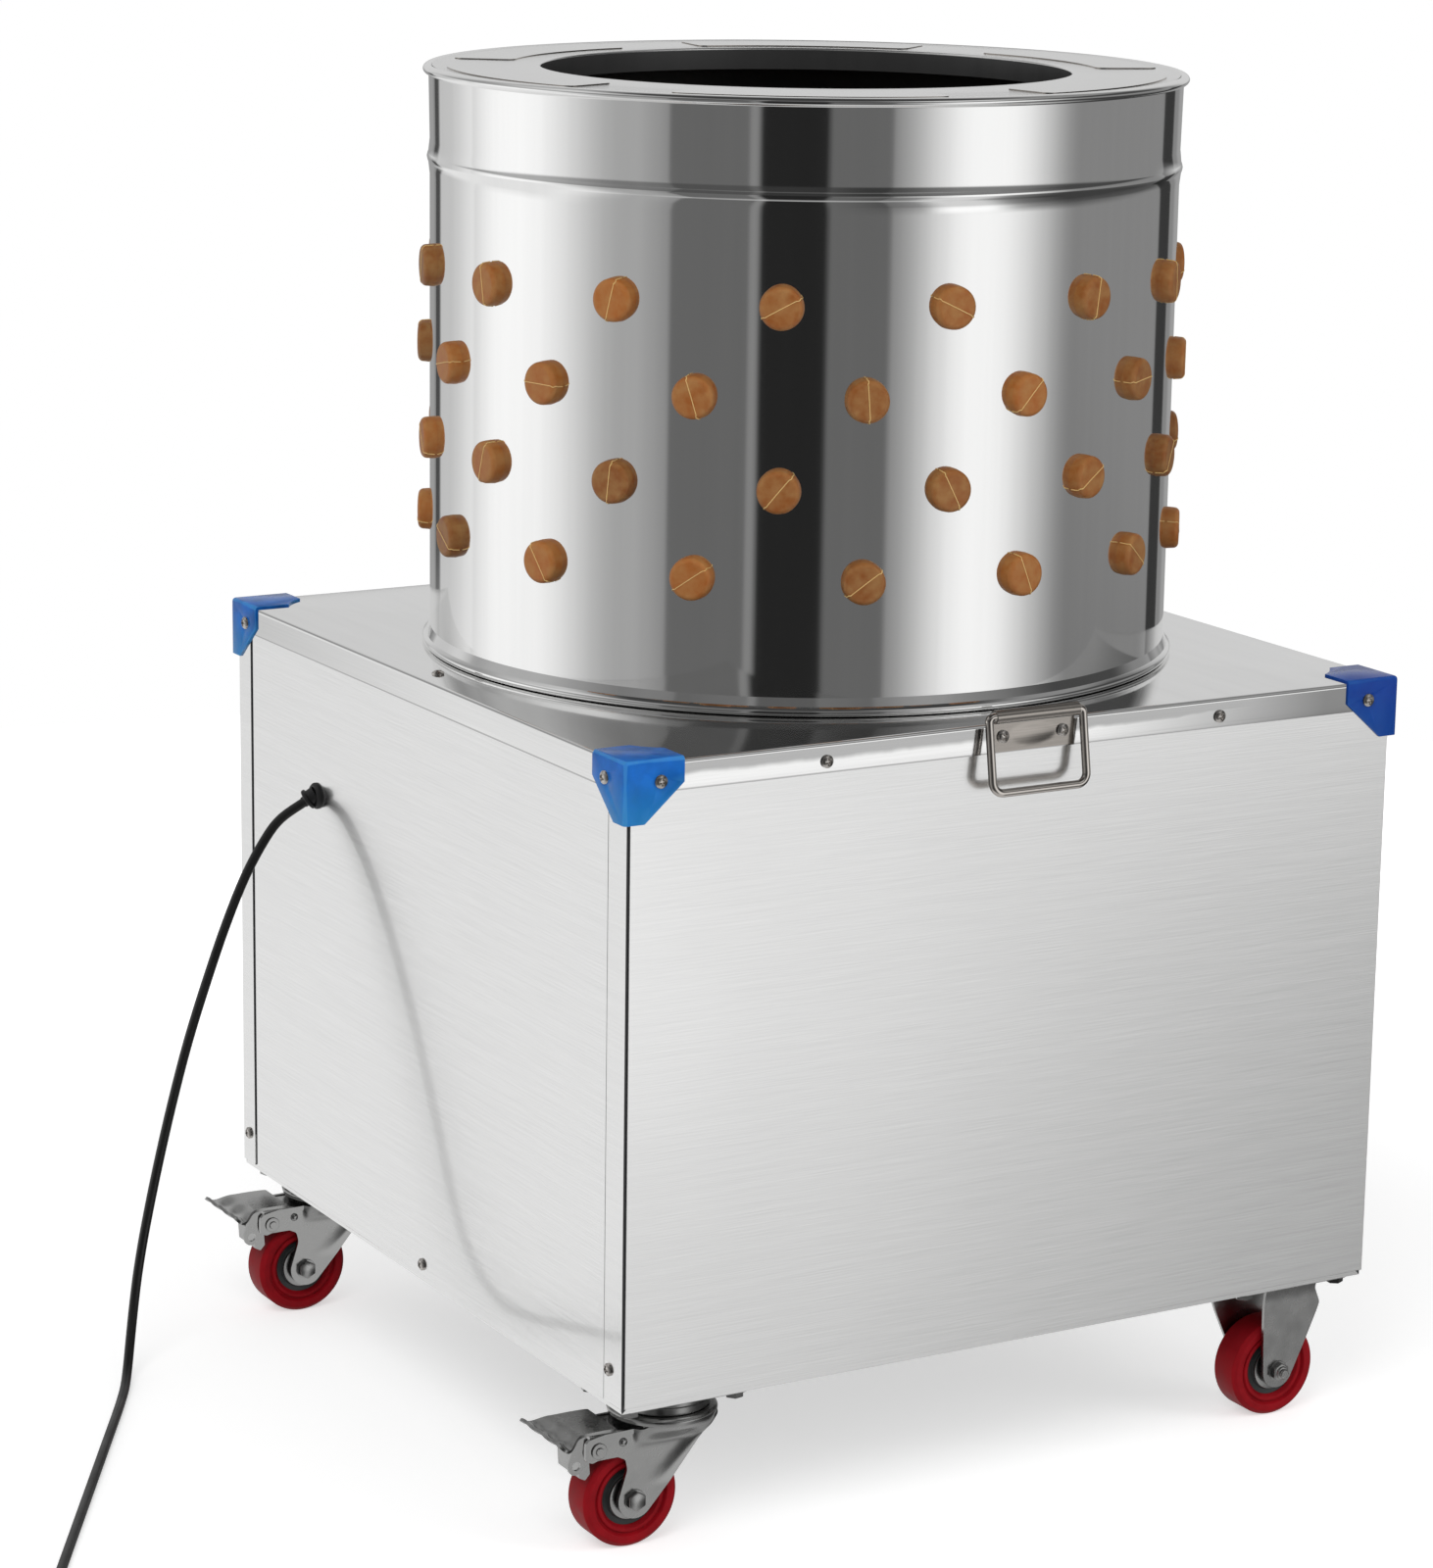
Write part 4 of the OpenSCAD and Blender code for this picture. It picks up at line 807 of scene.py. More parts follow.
def add_floor(stage):
    """A pale disc that fades to white for the camera."""
    made = bpy.data.materials.new("pale_floor")
    made.use_nodes = True
    graph = Graph(made.node_tree)
    path = graph.add("ShaderNodeLightPath").outputs
    seen = graph.math("MAXIMUM", path["Is Camera Ray"], path["Is Transmission Ray"])
    place = graph.add("ShaderNodeTexCoord").outputs["Object"]
    shades = stage.floor_shade - FLOOR_GRAIN, stage.floor_shade + FLOOR_GRAIN
    tone = graph.ramp(graph.noise(place, 2.0), *CONTRAST, *shades)
    grey = graph.add("ShaderNodeCombineColor", {0: tone, 1: tone, 2: tone}).outputs[0]
    matt = graph.add("ShaderNodeBsdfDiffuse", {"Color": grey})
    away = graph.add("ShaderNodeVectorMath", {0: place}, operation="LENGTH").outputs["Value"]
    lift = graph.ramp(away, *FLOOR_FADE, stage.floor_glow, 1.0, smooth=True)
    glow = graph.add("ShaderNodeEmission", {"Strength": graph.math("MULTIPLY", seen, lift)})
    both = graph.add("ShaderNodeAddShader", {0: matt.outputs[0], 1: glow.outputs[0]})
    graph.add("ShaderNodeOutputMaterial", {"Surface": both.outputs[0]})
    bm = bmesh.new()
    bmesh.ops.create_circle(bm, cap_ends=True, segments=128, radius=stage.floor_radius)
    mesh = mesh_of(bm, "floor")
    mesh.materials.append(made)
    floor = linked("floor", mesh)
    floor.visible_glossy = False


# Brightness of the studio, and how much of the wall's own its upper parts take up
STUDIO_WALL = 0.24
STUDIO_UPPER, UPPER_SHARE = 0.03, 0.40
STUDIO_CEILING, CEILING_SHARE = 0.12, 0.55
STUDIO_ZENITH = 0.05
STUDIO_GROUND = 0.6
# Cards: middle and half widths of the full and faded parts in degrees, brightness
STUDIO_CARDS = [
    (178, 8, 26, 0.39),
    (105, 13, 15, 0.56),
    (141, 6, 43, 1.03),
    (297, 4, 34.5, 1.01),
    (211, 11.5, 13, 0.135),
    (255, 9.5, 12, 0.135),
    (236.5, 9.0, 11.5, 0.018),
    (60, 19, 25, 0.34),
    (87, 2, 3.5, 0.07),
    (25, 5, 6.5, 0.04),
]
REAR_CARD = (60, 20, 50, 0.64)
UPPER_RIGHT_SHADE = (330, 70, 90, 0.5)
LOW_FRONT_CARD = (292, 6, 17, 1.45)
LOW_LEFT_CARD = (118, 30, 55, 0.83)
LOW_RIGHT_SHADE = (320, 45, 75, 0.48)
FAR_RIGHT_SHADE = (345, 30, 50, 0.45)
# Heights on a sphere of radius 1 between which a part of the studio comes in
LOW_FADE = (-0.18, -0.26)
FRONT_FADE = (-0.215, -0.28)
RIGHT_FADE = (-0.20, -0.38)
REAR_FADE, REAR_END = (-0.05, 0.03), (0.78, 0.50)
GROUND_FADE = (-0.60, -0.85)
UPPER_FADE = (0.15, 0.25)
CEILING_FADE = (0.50, 0.66)
ZENITH_FADE = (0.78, 0.90)


def add_world(scene, stage):
    """White for the camera, even light for matt surfaces, pale and dark cards round the room for mirrors."""
    world = bpy.data.worlds.new("studio")
    world.use_nodes = True
    graph = Graph(world.node_tree)
    way = graph.add("ShaderNodeSeparateXYZ", {0: graph.add("ShaderNodeTexCoord").outputs["Generated"]}).outputs
    bearing = graph.math("ARCTAN2", way["Y"], way["X"])

    def near(middle, full, faded):
        aligned = graph.math("COSINE", graph.math("SUBTRACT", bearing, math.radians(middle)))
        apart = graph.math("ARCCOSINE", aligned)
        return graph.ramp(apart, math.radians(faded), math.radians(full), smooth=True)

    def mixed(first, second, share):
        rest = graph.math("SUBTRACT", 1.0, share)
        return graph.math("ADD", graph.math("MULTIPLY", first, rest), graph.math("MULTIPLY", second, share))

    def carded(shade, card, fade=None):
        *place, brightness = card
        share = near(*place)
        return mixed(shade, brightness, share if fade is None else graph.math("MULTIPLY", fade, share))

    height = way["Z"]
    shade = STUDIO_WALL
    for card in STUDIO_CARDS:
        shade = carded(shade, card)
    upper = graph.math("ADD", STUDIO_UPPER, graph.math("MULTIPLY", shade, UPPER_SHARE))
    upper = graph.math("MULTIPLY", upper, carded(1.0, UPPER_RIGHT_SHADE))
    ceiling = graph.math("ADD", STUDIO_CEILING, graph.math("MULTIPLY", shade, CEILING_SHARE))
    lower = graph.ramp(height, *LOW_FADE)
    shade = carded(shade, LOW_LEFT_CARD, lower)
    shade = carded(shade, LOW_FRONT_CARD, graph.ramp(height, *FRONT_FADE))
    shade = graph.math("MULTIPLY", shade, carded(1.0, LOW_RIGHT_SHADE, graph.ramp(height, *RIGHT_FADE)))
    shade = graph.math("MULTIPLY", shade, carded(1.0, FAR_RIGHT_SHADE, lower))
    for brightness, fade in ((STUDIO_GROUND, GROUND_FADE), (upper, UPPER_FADE), (ceiling, CEILING_FADE),
                             (STUDIO_ZENITH, ZENITH_FADE)):
        shade = mixed(shade, brightness, graph.ramp(height, *fade, smooth=True))
    behind = graph.math("MULTIPLY", graph.ramp(height, *REAR_FADE), graph.ramp(height, *REAR_END))
    shade = carded(shade, REAR_CARD, behind)
    tone = graph.add("ShaderNodeCombineColor", {0: shade, 1: shade, 2: shade}).outputs[0]
    path = graph.add("ShaderNodeLightPath").outputs
    mirrored = graph.math("MAXIMUM", path["Is Glossy Ray"], path["Is Transmission Ray"])
    room = graph.add("ShaderNodeBackground", {"Color": tone}).outputs[0]
    even = graph.add("ShaderNodeBackground", {"Color": (1, 1, 1, 1), "Strength": stage.ambient}).outputs[0]
    white = graph.add("ShaderNodeBackground", {"Color": (1, 1, 1, 1), "Strength": 1.0}).outputs[0]
    unseen = graph.add("ShaderNodeMixShader", {0: mirrored, 1: even, 2: room}).outputs[0]
    whole = graph.add("ShaderNodeMixShader", {0: path["Is Camera Ray"], 1: unseen, 2: white}).outputs[0]
    graph.add("ShaderNodeOutputWorld", {"Surface": whole})
    scene.world = world


def add_lamp(name, place, size, power):
    """A round soft lamp that mirrors don't show."""
    lamp = bpy.data.lights.new(name, "AREA")
    lamp.shape = "DISK"
    lamp.size = size
    lamp.energy = power
    holder = linked(name, lamp)
    holder.matrix_world = facing(place, Vector(place) - LAMP_AIM)
    holder.visible_glossy = False
    holder.visible_camera = False


class PLUCKER_OT_stage(bpy.types.Operator):
    """Set up the camera, the floor, the world and the lamps"""
    bl_idname = "plucker.stage"
    bl_label = "Stage"

    def execute(self, context):
        stage = context.scene.plucker_stage
        context.scene.view_settings.view_transform = "Standard"
        add_camera(context.scene, stage)
        add_floor(stage)
        add_world(context.scene, stage)
        add_lamp("key_lamp", KEY_PLACE, KEY_SIZE, stage.key)
        add_lamp("fill_lamp", FILL_PLACE, FILL_SIZE, stage.fill)
        return {"FINISHED"}


# Cord

CORD_R = 0.004
NOSE_DIR = Vector((-0.72, 0.36, -0.59)).normalized()
GLAND = Vector((-PANEL, 0.190, TOP_Z - 0.137))
GLAND_FLANGE = 0.004
NOSE_LENGTH = 0.009
NOSE_START = GLAND + Vector((-GLAND_FLANGE, 0, 0))
NOSE_END = NOSE_START + NOSE_LENGTH * NOSE_DIR
CORD_ROUTE = [
    (-0.372, 0.202, 0.4645), (-0.384, 0.207, 0.4475), (-0.400, 0.212, 0.4165), (-0.416, 0.216, 0.3765),
    (-0.432, 0.220, 0.3295), (-0.448, 0.224, 0.2775), (-0.462, 0.227, 0.2245), (-0.475, 0.229, 0.1705),
    (-0.486, 0.230, 0.1205), (-0.494, 0.228, 0.0845), (-0.501, 0.222, 0.0565), (-0.509, 0.211, 0.0325),
    (-0.519, 0.194, 0.013), (-0.531, 0.171, 0.005), (-0.545, 0.145, CORD_R),
    *((-0.560 - 0.016 * k, 0.118 - 0.028 * k, CORD_R) for k in range(13)), (-0.764, -0.239, CORD_R)]
COIL_TURNS = 1.5
COIL_CLIMB = 0.5
COIL_OUT = 0.050
COIL_STEP = 0.0088
COIL_STRAIGHT = 0.010
COIL_POINTS = 48


def coil_local(turns):
    """A point of the coil: it winds in on the floor, climbs half a turn and winds out on the first layer."""
    inner = COIL_TURNS + COIL_CLIMB / 2
    radius = COIL_OUT - COIL_STEP * (inner - abs(turns - inner))
    rise = COIL_STEP * eased(share_of(turns, COIL_TURNS, COIL_CLIMB))
    angle = FULL_TURN * turns
    return Vector((radius * math.cos(angle), -radius * math.sin(angle), CORD_R + rise))


def cord_path():
    """The whole cord: smooth points between the route's own, then the coil, then straight into the plug."""
    route = [NOSE_END] + [Vector(p) for p in CORD_ROUTE]
    path = []
    for i in range(len(route) - 1):
        a, b = route[max(i - 1, 0)], route[i]
        c, d = route[i + 1], route[min(i + 2, len(route) - 1)]
        for t in (0, 0.25, 0.5, 0.75):
            path.append(0.5 * (2 * b + t * (c - a) + t * t * (2 * a - 5 * b + 4 * c - d)
                               + t ** 3 * (3 * b - 3 * c + d - a)))
    path.append(route[-1])
    head = (route[-1] - route[-2]).normalized()
    first = coil_local(0.02) - coil_local(0)
    spin = Matrix.Rotation(math.atan2(head.y, head.x) - math.atan2(first.y, first.x), 3, "Z")
    shift = route[-1] + COIL_STRAIGHT * head - spin @ coil_local(0)
    end = 2 * COIL_TURNS + COIL_CLIMB
    count = round(end * COIL_POINTS)
    wound = [shift + spin @ coil_local(end * k / count) for k in range(count + 1)]
    out = (wound[-1] - wound[-2]).normalized()
    return path + wound + [wound[-1] + COIL_STRAIGHT * out], shift, out


class PLUCKER_OT_cord(bpy.types.Operator):
    """Lay the mains cord with its gland, tie and plug"""
    bl_idname = "plucker.cord"
    bl_label = "Mains cord"

    def execute(self, context):
        path, middle, out = cord_path()
        curve = bpy.data.curves.new("mains_cord", "CURVE")
        curve.dimensions = "3D"
        curve.bevel_depth = CORD_R
        curve.bevel_resolution = 4
        curve.use_fill_caps = True
        spline = curve.splines.new("POLY")
        spline.points.add(len(path) - 1)
        spline.points.foreach_set("co", [c for p in path for c in (*p, 1.0)])
        spline.use_smooth = True
        curve.materials.append(finish("cord"))
        cord = linked("mains_cord", curve)
        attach(cord, "cabinet")
        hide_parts("cord_lead", "cord_coil")
        plug = add_piece("plug", self.plug(path[-1], out), "black", "cabinet", "black_plastic", "cord_plug")
        tie = add_piece("cord_tie", self.tie(middle), "black", "cabinet", "black_plastic")
        add_piece("gland", self.gland(), "black", "cabinet", "black_plastic", "cord_gland")
        return {"FINISHED"}

    def plug(self, end, out):
        """Boot with flex ribs, moulded body with a grip waist, two flat blades and an earth pin."""
        boot = [(0.0, 0.0), (0.0052, 0.0)]
        for k in range(5):
            r, z = 0.0052 + 0.0005 * k, 0.002 + 0.0048 * k
            boot += [(r, z), (r, z + 0.003), (r - 0.0005, z + 0.0034)]
        body = rounded([(0.0, 0.026, 0), (0.0105, 0.026, 0.003), (0.0120, 0.031, 0.002), (0.0108, 0.040, 0.006),
                        (0.0120, 0.050, 0.003), (0.0120, 0.0595, 0.001), (0.0, 0.0595, 0)])
        place = facing(end, out)
        parts = [lathe([*boot, (0.0072, 0.0262), (0.0, 0.0262)], 32, place), lathe(body, 32, place)]
        for v in (-0.0063, 0.0063):
            parts.append(plate(box_outline(-0.0032, 0.0032, v - 0.0008, v + 0.0008, 0.0004), 0.017,
                               place @ Matrix.Translation((0, 0, 0.0585))))
        pin = [(0.0, 0.0585), (0.0024, 0.0585), (0.0024, 0.076), (0.0015, 0.0775), (0.0, 0.0775)]
        parts.append(lathe(pin, 20, place @ Matrix.Translation((0.007, 0, 0))))
        return mesh_of(join(*parts), "plug")

    def tie(self, middle):
        """A flat band round the bundle of turns, with its lock."""
        slack = 0.0012
        inner, outer = COIL_OUT - 2.1 * COIL_STEP, COIL_OUT + CORD_R + slack
        top = 2 * CORD_R + COIL_STEP + slack
        loop = box_outline(inner, outer, 0.0002, top, 0.004)
        hole = box_outline(inner + 0.001, outer - 0.001, 0.0012, top - 0.001, 0.0032)
        place = Matrix.Translation((middle.x, middle.y, 0)) @ Matrix.Rotation(math.radians(200), 4, "Z")
        band = plate(loop, 0.005, place @ upright(-0.0025), [hole])
        lock = block(outer - 0.006, outer + 0.001, -0.0035, 0.0035, top * 0.4, top * 0.75)
        bmesh.ops.transform(lock, matrix=place, verts=lock.verts)
        return softened(join(band, lock), "cord_tie", width=0.0003)

    def gland(self):
        """Domed flange on the panel, a rim behind a groove that leans with the cord, and the nut inside."""
        flange = rounded([(0.0, -0.001, 0), (0.0110, -0.001, 0), (0.0110, 0.0016, 0.0012),
                          (0.0092, 0.0036, 0.002), (0.0074, 0.0040, 0.0008), (0.0066, 0.0030, 0.0004),
                          (0.0, 0.0030, 0)])
        nose = rounded([(0.0, -0.004, 0), (0.0070, -0.004, 0), (0.0070, 0.0022, 0.0004),
                        (0.0090, 0.0030, 0.0007), (0.0088, 0.0056, 0.0012), (0.0058, 0.0064, 0.0006),
                        (0.0046, 0.0070, 0.0008), (0.0046, NOSE_LENGTH, 0.0003), (0.0, NOSE_LENGTH, 0)])
        nut = [(0.0, -0.0085), (0.0105, -0.0085), (0.0105, -0.0012), (0.0, -0.0012)]
        out = facing(GLAND, (-1, 0, 0))
        lower = facing(NOSE_START, NOSE_DIR)
        turned = [lathe(shape, 48, place) for shape, place in ((flange, out), (nose, lower))]
        return mesh_of(join(*turned, lathe(nut, 6, out)), "gland", smooth=30)


# Cabinet


EDGE = 0.0004
SEAM = 0.0002
RAIL_HEIGHT = 0.03
GUARD_T = 0.003


class PLUCKER_OT_cabinet(bpy.types.Operator):
    """Make the panels, the top plate, the frame and the feather tray"""
    bl_idname = "plucker.cabinet"
    bl_label = "Cabinet"

    def execute(self, context):
        sizes = context.scene.plucker_cabinet
        front = block(-high("front_panel").x, PANEL, -PANEL, sizes.panel - PANEL, PANEL_Z, PANEL_TOP)
        self.put("front_sheet", front, "front_panel")
        rear = high("left_panel").y
        split = sizes.strip - PANEL
        for side, node in ((-1, "left_panel"), (1, "right_panel")):
            x0, x1 = sorted((side * PANEL, side * (PANEL - sizes.panel)))
            start = -PANEL + (sizes.panel if side > 0 else 0.0)
            strip = block(x0, x1, start, split - SEAM, PANEL_Z, PANEL_TOP)
            main = block(x0, x1, split + SEAM, rear - sizes.rear_gap, PANEL_Z, PANEL_TOP)
            piece = self.put(node.replace("panel", "sheet"), join(strip, main), node)
            # Painted shade: the strips' front ends in the corner seams take near-black steel
            paint(piece.data, lambda face: face.normal.y < -0.5 and face.center.y < split - 0.01, "inside")
        self.put("back_sheet", merged("back_panel"), "back_panel")
        top = add_piece("top_sheet", self.top(sizes), "top", "cabinet", "polished_steel", "top_plate")
        paint(top.data, lambda face: face.center.z < TOP_Z - sizes.fold, "skirt")
        self.put("tray_sheet", merged("feather_tray"), "feather_tray", round_edge=0.0003)
        # Two-tone frame: dark enamel above the lowest rails, partly the frame's own paint and partly painted
        # shade for the corner seams, and brushed steel on the rails below the panels
        rails = frame["nodes"]["base_frame"].data
        rails.materials.clear()
        paint(rails, lambda face: face.center.z < PANEL_Z + RAIL_HEIGHT, "frame", "panel")
        return {"FINISHED"}

    def put(self, name, bm, node, round_edge=EDGE):
        """A piece of brushed sheet."""
        return add_piece(name, softened(bm, name, round_edge), "panel", "cabinet", "brushed_steel", node)

    def top(self, sizes):
        """Square sheet with a round hole, folded down all round, on which the drum stands."""
        bm = bmesh.new()
        hole = bpy.context.scene.plucker_drum.floor_radius
        parts = 128
        rows = []
        for k in range(parts):
            angle = FULL_TURN * (k + 0.5) / parts
            c, s = math.cos(angle), math.sin(angle)
            out = SKIRT / max(abs(c), abs(s))
            rows.append((bm.verts.new((hole * c, hole * s, TOP_Z)), bm.verts.new((out * c, out * s, TOP_Z)),
                         bm.verts.new((out * c, out * s, SKIRT_Z))))
        corners = [bm.verts.new((x * SKIRT, y * SKIRT, z)) for x, y in ((1, 1), (-1, 1), (-1, -1), (1, -1))
                   for z in (TOP_Z, SKIRT_Z)]
        for k in range(parts):
            near, far = rows[k], rows[(k + 1) % parts]
            if (k + 1) % (parts // 4) == parts // 8:
                top, foot = corners[2 * (k * 4 // parts):][:2]
                bm.faces.new((near[0], near[1], top, far[1], far[0]))
                bm.faces.new((near[1], near[2], foot, top))
                bm.faces.new((top, foot, far[2], far[1]))
            else:
                bm.faces.new((near[0], near[1], far[1], far[0]))
                bm.faces.new((near[1], near[2], far[2], far[1]))
        bmesh.ops.recalc_face_normals(bm, faces=bm.faces)
        if sum(f.normal.z for f in bm.faces) < 0:
            bmesh.ops.reverse_faces(bm, faces=bm.faces)
        mesh = modified(mesh_of(bm, "top_sheet", smooth=40), bevel(sizes.fold, 4, 60),
                        ("SOLIDIFY", {"thickness": sizes.sheet, "offset": -1.0}))
        return smoothed(mesh, 40)


class PLUCKER_OT_guards(bpy.types.Operator):
    """Make the four moulded corner guards"""
    bl_idname = "plucker.guards"
    bl_label = "Corner guards"

    def execute(self, context):
        width = context.scene.plucker_cabinet.guard_round
        for corner in CASTOR_PLACES:
            node = f"corner_guard_{corner}"
            mesh = self.rounded_guard(node, width)
            piece = add_piece(f"guard_{corner}", mesh, "blue", "cabinet", "blue_plastic", node)
            piece.visible_glossy = False
        return {"FINISHED"}

    def rounded_guard(self, node, width):
        """The CAD guard with its outer edges well rounded and all others eased."""
        bm = merged(node)
        reach = SKIRT + GUARD_T - 0.0004
        centres = {f: f.calc_center_median() for f in bm.faces}
        outer = [f for f, c in centres.items() if max(abs(c.x), abs(c.y)) > reach or c.z > TOP_Z + GUARD_T / 2]
        main = [e for e in bm.edges if len(e.link_faces) == 2 and all(f in outer for f in e.link_faces)
                and e.calc_face_angle() > 1.0]
        bmesh.ops.bevel(bm, geom=main, offset=width, segments=4, profile=0.5, affect="EDGES",
                        clamp_overlap=True)
        return smoothed(modified(mesh_of(bm, node), bevel(0.0006, 2, 50)), 60)


HINGE_T = 0.0015
HANDLE_X = 0.003
SCREW_Z = TOP_Z - 0.014
HINGE_Z = TOP_Z - 0.010
# Screws: distance from the skirt's corner, then from the middle of the skirt, the handle plate and the top
GUARD_SCREW, SKIRT_SCREW, HINGE_SCREW, TOP_SCREW = 0.027, 0.178, 0.027, 0.327
PANEL_SCREWS = [(-PANEL + 0.020, PANEL_Z + 0.026), (-0.008, PANEL_Z + 0.011),
                (PANEL - 0.0115, PANEL_Z + 0.026)]


def screw_places():
    """Place and facing of every screw: skirt, guards, side panels, handle plates and the top plate."""
    places = []
    for k in range(4):
        marks = [(side * (SKIRT - GUARD_SCREW), SCREW_Z, SKIRT + GUARD_T) for side in (-1, 1)]
        sign = 1 if k < 2 else -1
        if k % 2:
            marks += [(sign * y, z, PANEL) for y, z in PANEL_SCREWS]
        else:
            for side in (-1, 1):
                marks += [(side * SKIRT_SCREW, SCREW_Z, SKIRT),
                          (sign * HANDLE_X + side * HINGE_SCREW, HINGE_Z, SKIRT + HINGE_T)]
        turned = Matrix.Rotation(k * math.pi / 2, 3, "Z")
        places += [(turned @ Vector((u, -away, z)), turned @ Vector((0, -1, 0))) for u, z, away in marks]
        places.append((turned @ Vector((TOP_SCREW, 0, TOP_Z)), Vector((0, 0, 1))))
    return places


def screw_head(radius):
    """Domed head with a cross-shaped recess, along +Z."""
    bm = bmesh.new()
    rise, arm, reach = 0.66 * radius, 0.16 * radius, 0.56 * radius
    parts, rings = 32, 8
    rows = []
    for i in range(rings + 1):
        share = i / rings
        row = []
        for x, y in circle((0, 0), radius * share, parts):
            z = rise * math.sqrt(1 - (share * 0.92) ** 2)
            cross = min(abs(x), abs(y)) < arm and max(abs(x), abs(y)) < reach
            row.append(bm.verts.new((x, y, z - (0.42 * rise if cross else 0.0))))
        rows.append(row)
    rows.append([bm.verts.new((*p, 0)) for p in circle((0, 0), radius, parts)])
    skin(bm, rows)
    bm.faces.new(rows[-1])
    return mesh_of(settled(bm), "screw", smooth=30)


class PLUCKER_OT_screws(bpy.types.Operator):
    """Put in the pan-head screws"""
    bl_idname = "plucker.screws"
    bl_label = "Screws"

    def execute(self, context):
        head = screw_head(context.scene.plucker_cabinet.screw_head)
        mesh = grown("screws", scatter_tree, head, "screw", spots(screw_places()), Turn=math.pi, Seed=5)
        add_piece("screws", mesh, "screw", "cabinet", "screw_steel", "sheet_screws")
        return {"FINISHED"}


# Handles

BARREL = Vector((HANDLE_X, -0.35245, TOP_Z + 0.00665))
BARREL_R = 0.00545
PLATE_HALF = 0.0375
BAIL_TILT = math.radians(9)


class PLUCKER_OT_handles(bpy.types.Operator):
    """Make both bail handles with their plates"""
    bl_idname = "plucker.handles"
    bl_label = "Handles"

    def execute(self, context):
        rod = context.scene.plucker_cabinet.rod
        for end, sign in (("front", 1), ("back", -1)):
            flip = Matrix.Diagonal((1, sign, 1, 1))
            hoop, ends = self.bail(rod)
            bail = f"{end}_bail"
            for name, bm, material, body, nodes in (
                    (bail, hoop, "rod", bail, [f"handle_bail_{end}"]), (f"{bail}_ends", ends, "rod", bail, []),
                    (f"{end}_handle_plate", self.plate(), "hinge", "cabinet", [f"handle_plate_{end}"])):
                mesh = mesh_of(settled(bm, flip), name, smooth=45)
                piece = add_piece(name, mesh, material, body, "polished_steel", *nodes)
                piece.visible_glossy = name == bail
        return {"FINISHED"}

    def bail(self, rod):
        """The hanging hoop, and its two ends in the barrel, which mirrors leave out."""
        half, drop, pin, cut = 0.0425, 0.058, 0.025, -0.008
        outline = rounded([(-pin, 0, 0), (-half, 0, 0.0045), (-half, cut, 0), (-half, -drop, 0.009),
                           (half, -drop, 0.009), (half, cut, 0), (half, 0, 0.0045), (pin, 0, 0)],
                          math.radians(6))
        tilt = Matrix.Rotation(-BAIL_TILT, 3, "X")
        path = [BARREL + tilt @ Vector((u, 0, v)) for u, v in outline]
        first, last = [k for k, (u, v) in enumerate(outline) if math.isclose(v, cut, abs_tol=1e-6)]
        return tube(path[first:last + 1], rod), join(tube(path[:first + 1], rod), tube(path[last:], rod))

    def plate(self):
        """Sheet with a lens-shaped dimple, rolled round the bail at its upper edge."""
        face = SKIRT + HINGE_T
        down = low("handle_plate_front").z
        lens_half, lens_rise, lens_out = 0.021, 0.0075, 0.0011
        profile = [(-face + HINGE_T / 2, down + (BARREL.z - down) * k / 16) for k in range(16)]
        profile += arc(BARREL.yz, BARREL_R - HINGE_T / 2, 0, 330, 22)
        bm = bmesh.new()
        columns = 36
        rows = []
        for i in range(columns + 1):
            x = PLATE_HALF * (2 * i / columns - 1)
            row = []
            for y, z in profile:
                lens = max(0.0, 1 - (x / lens_half) ** 2 - ((z - HINGE_Z) / lens_rise) ** 2)
                on_face = z < TOP_Z and y > -face
                row.append(bm.verts.new((HANDLE_X + x, y - (lens_out * lens if on_face else 0.0), z)))
            rows.append(row)
        grid(bm, rows)
        bmesh.ops.recalc_face_normals(bm, faces=bm.faces)
        return opened(modified(mesh_of(bm, "plate"), ("SOLIDIFY", {"thickness": HINGE_T, "offset": 0.0})))


# Drum

RING_UNDER = RIM_Z - 0.006
BEAD_CREST = 0.28


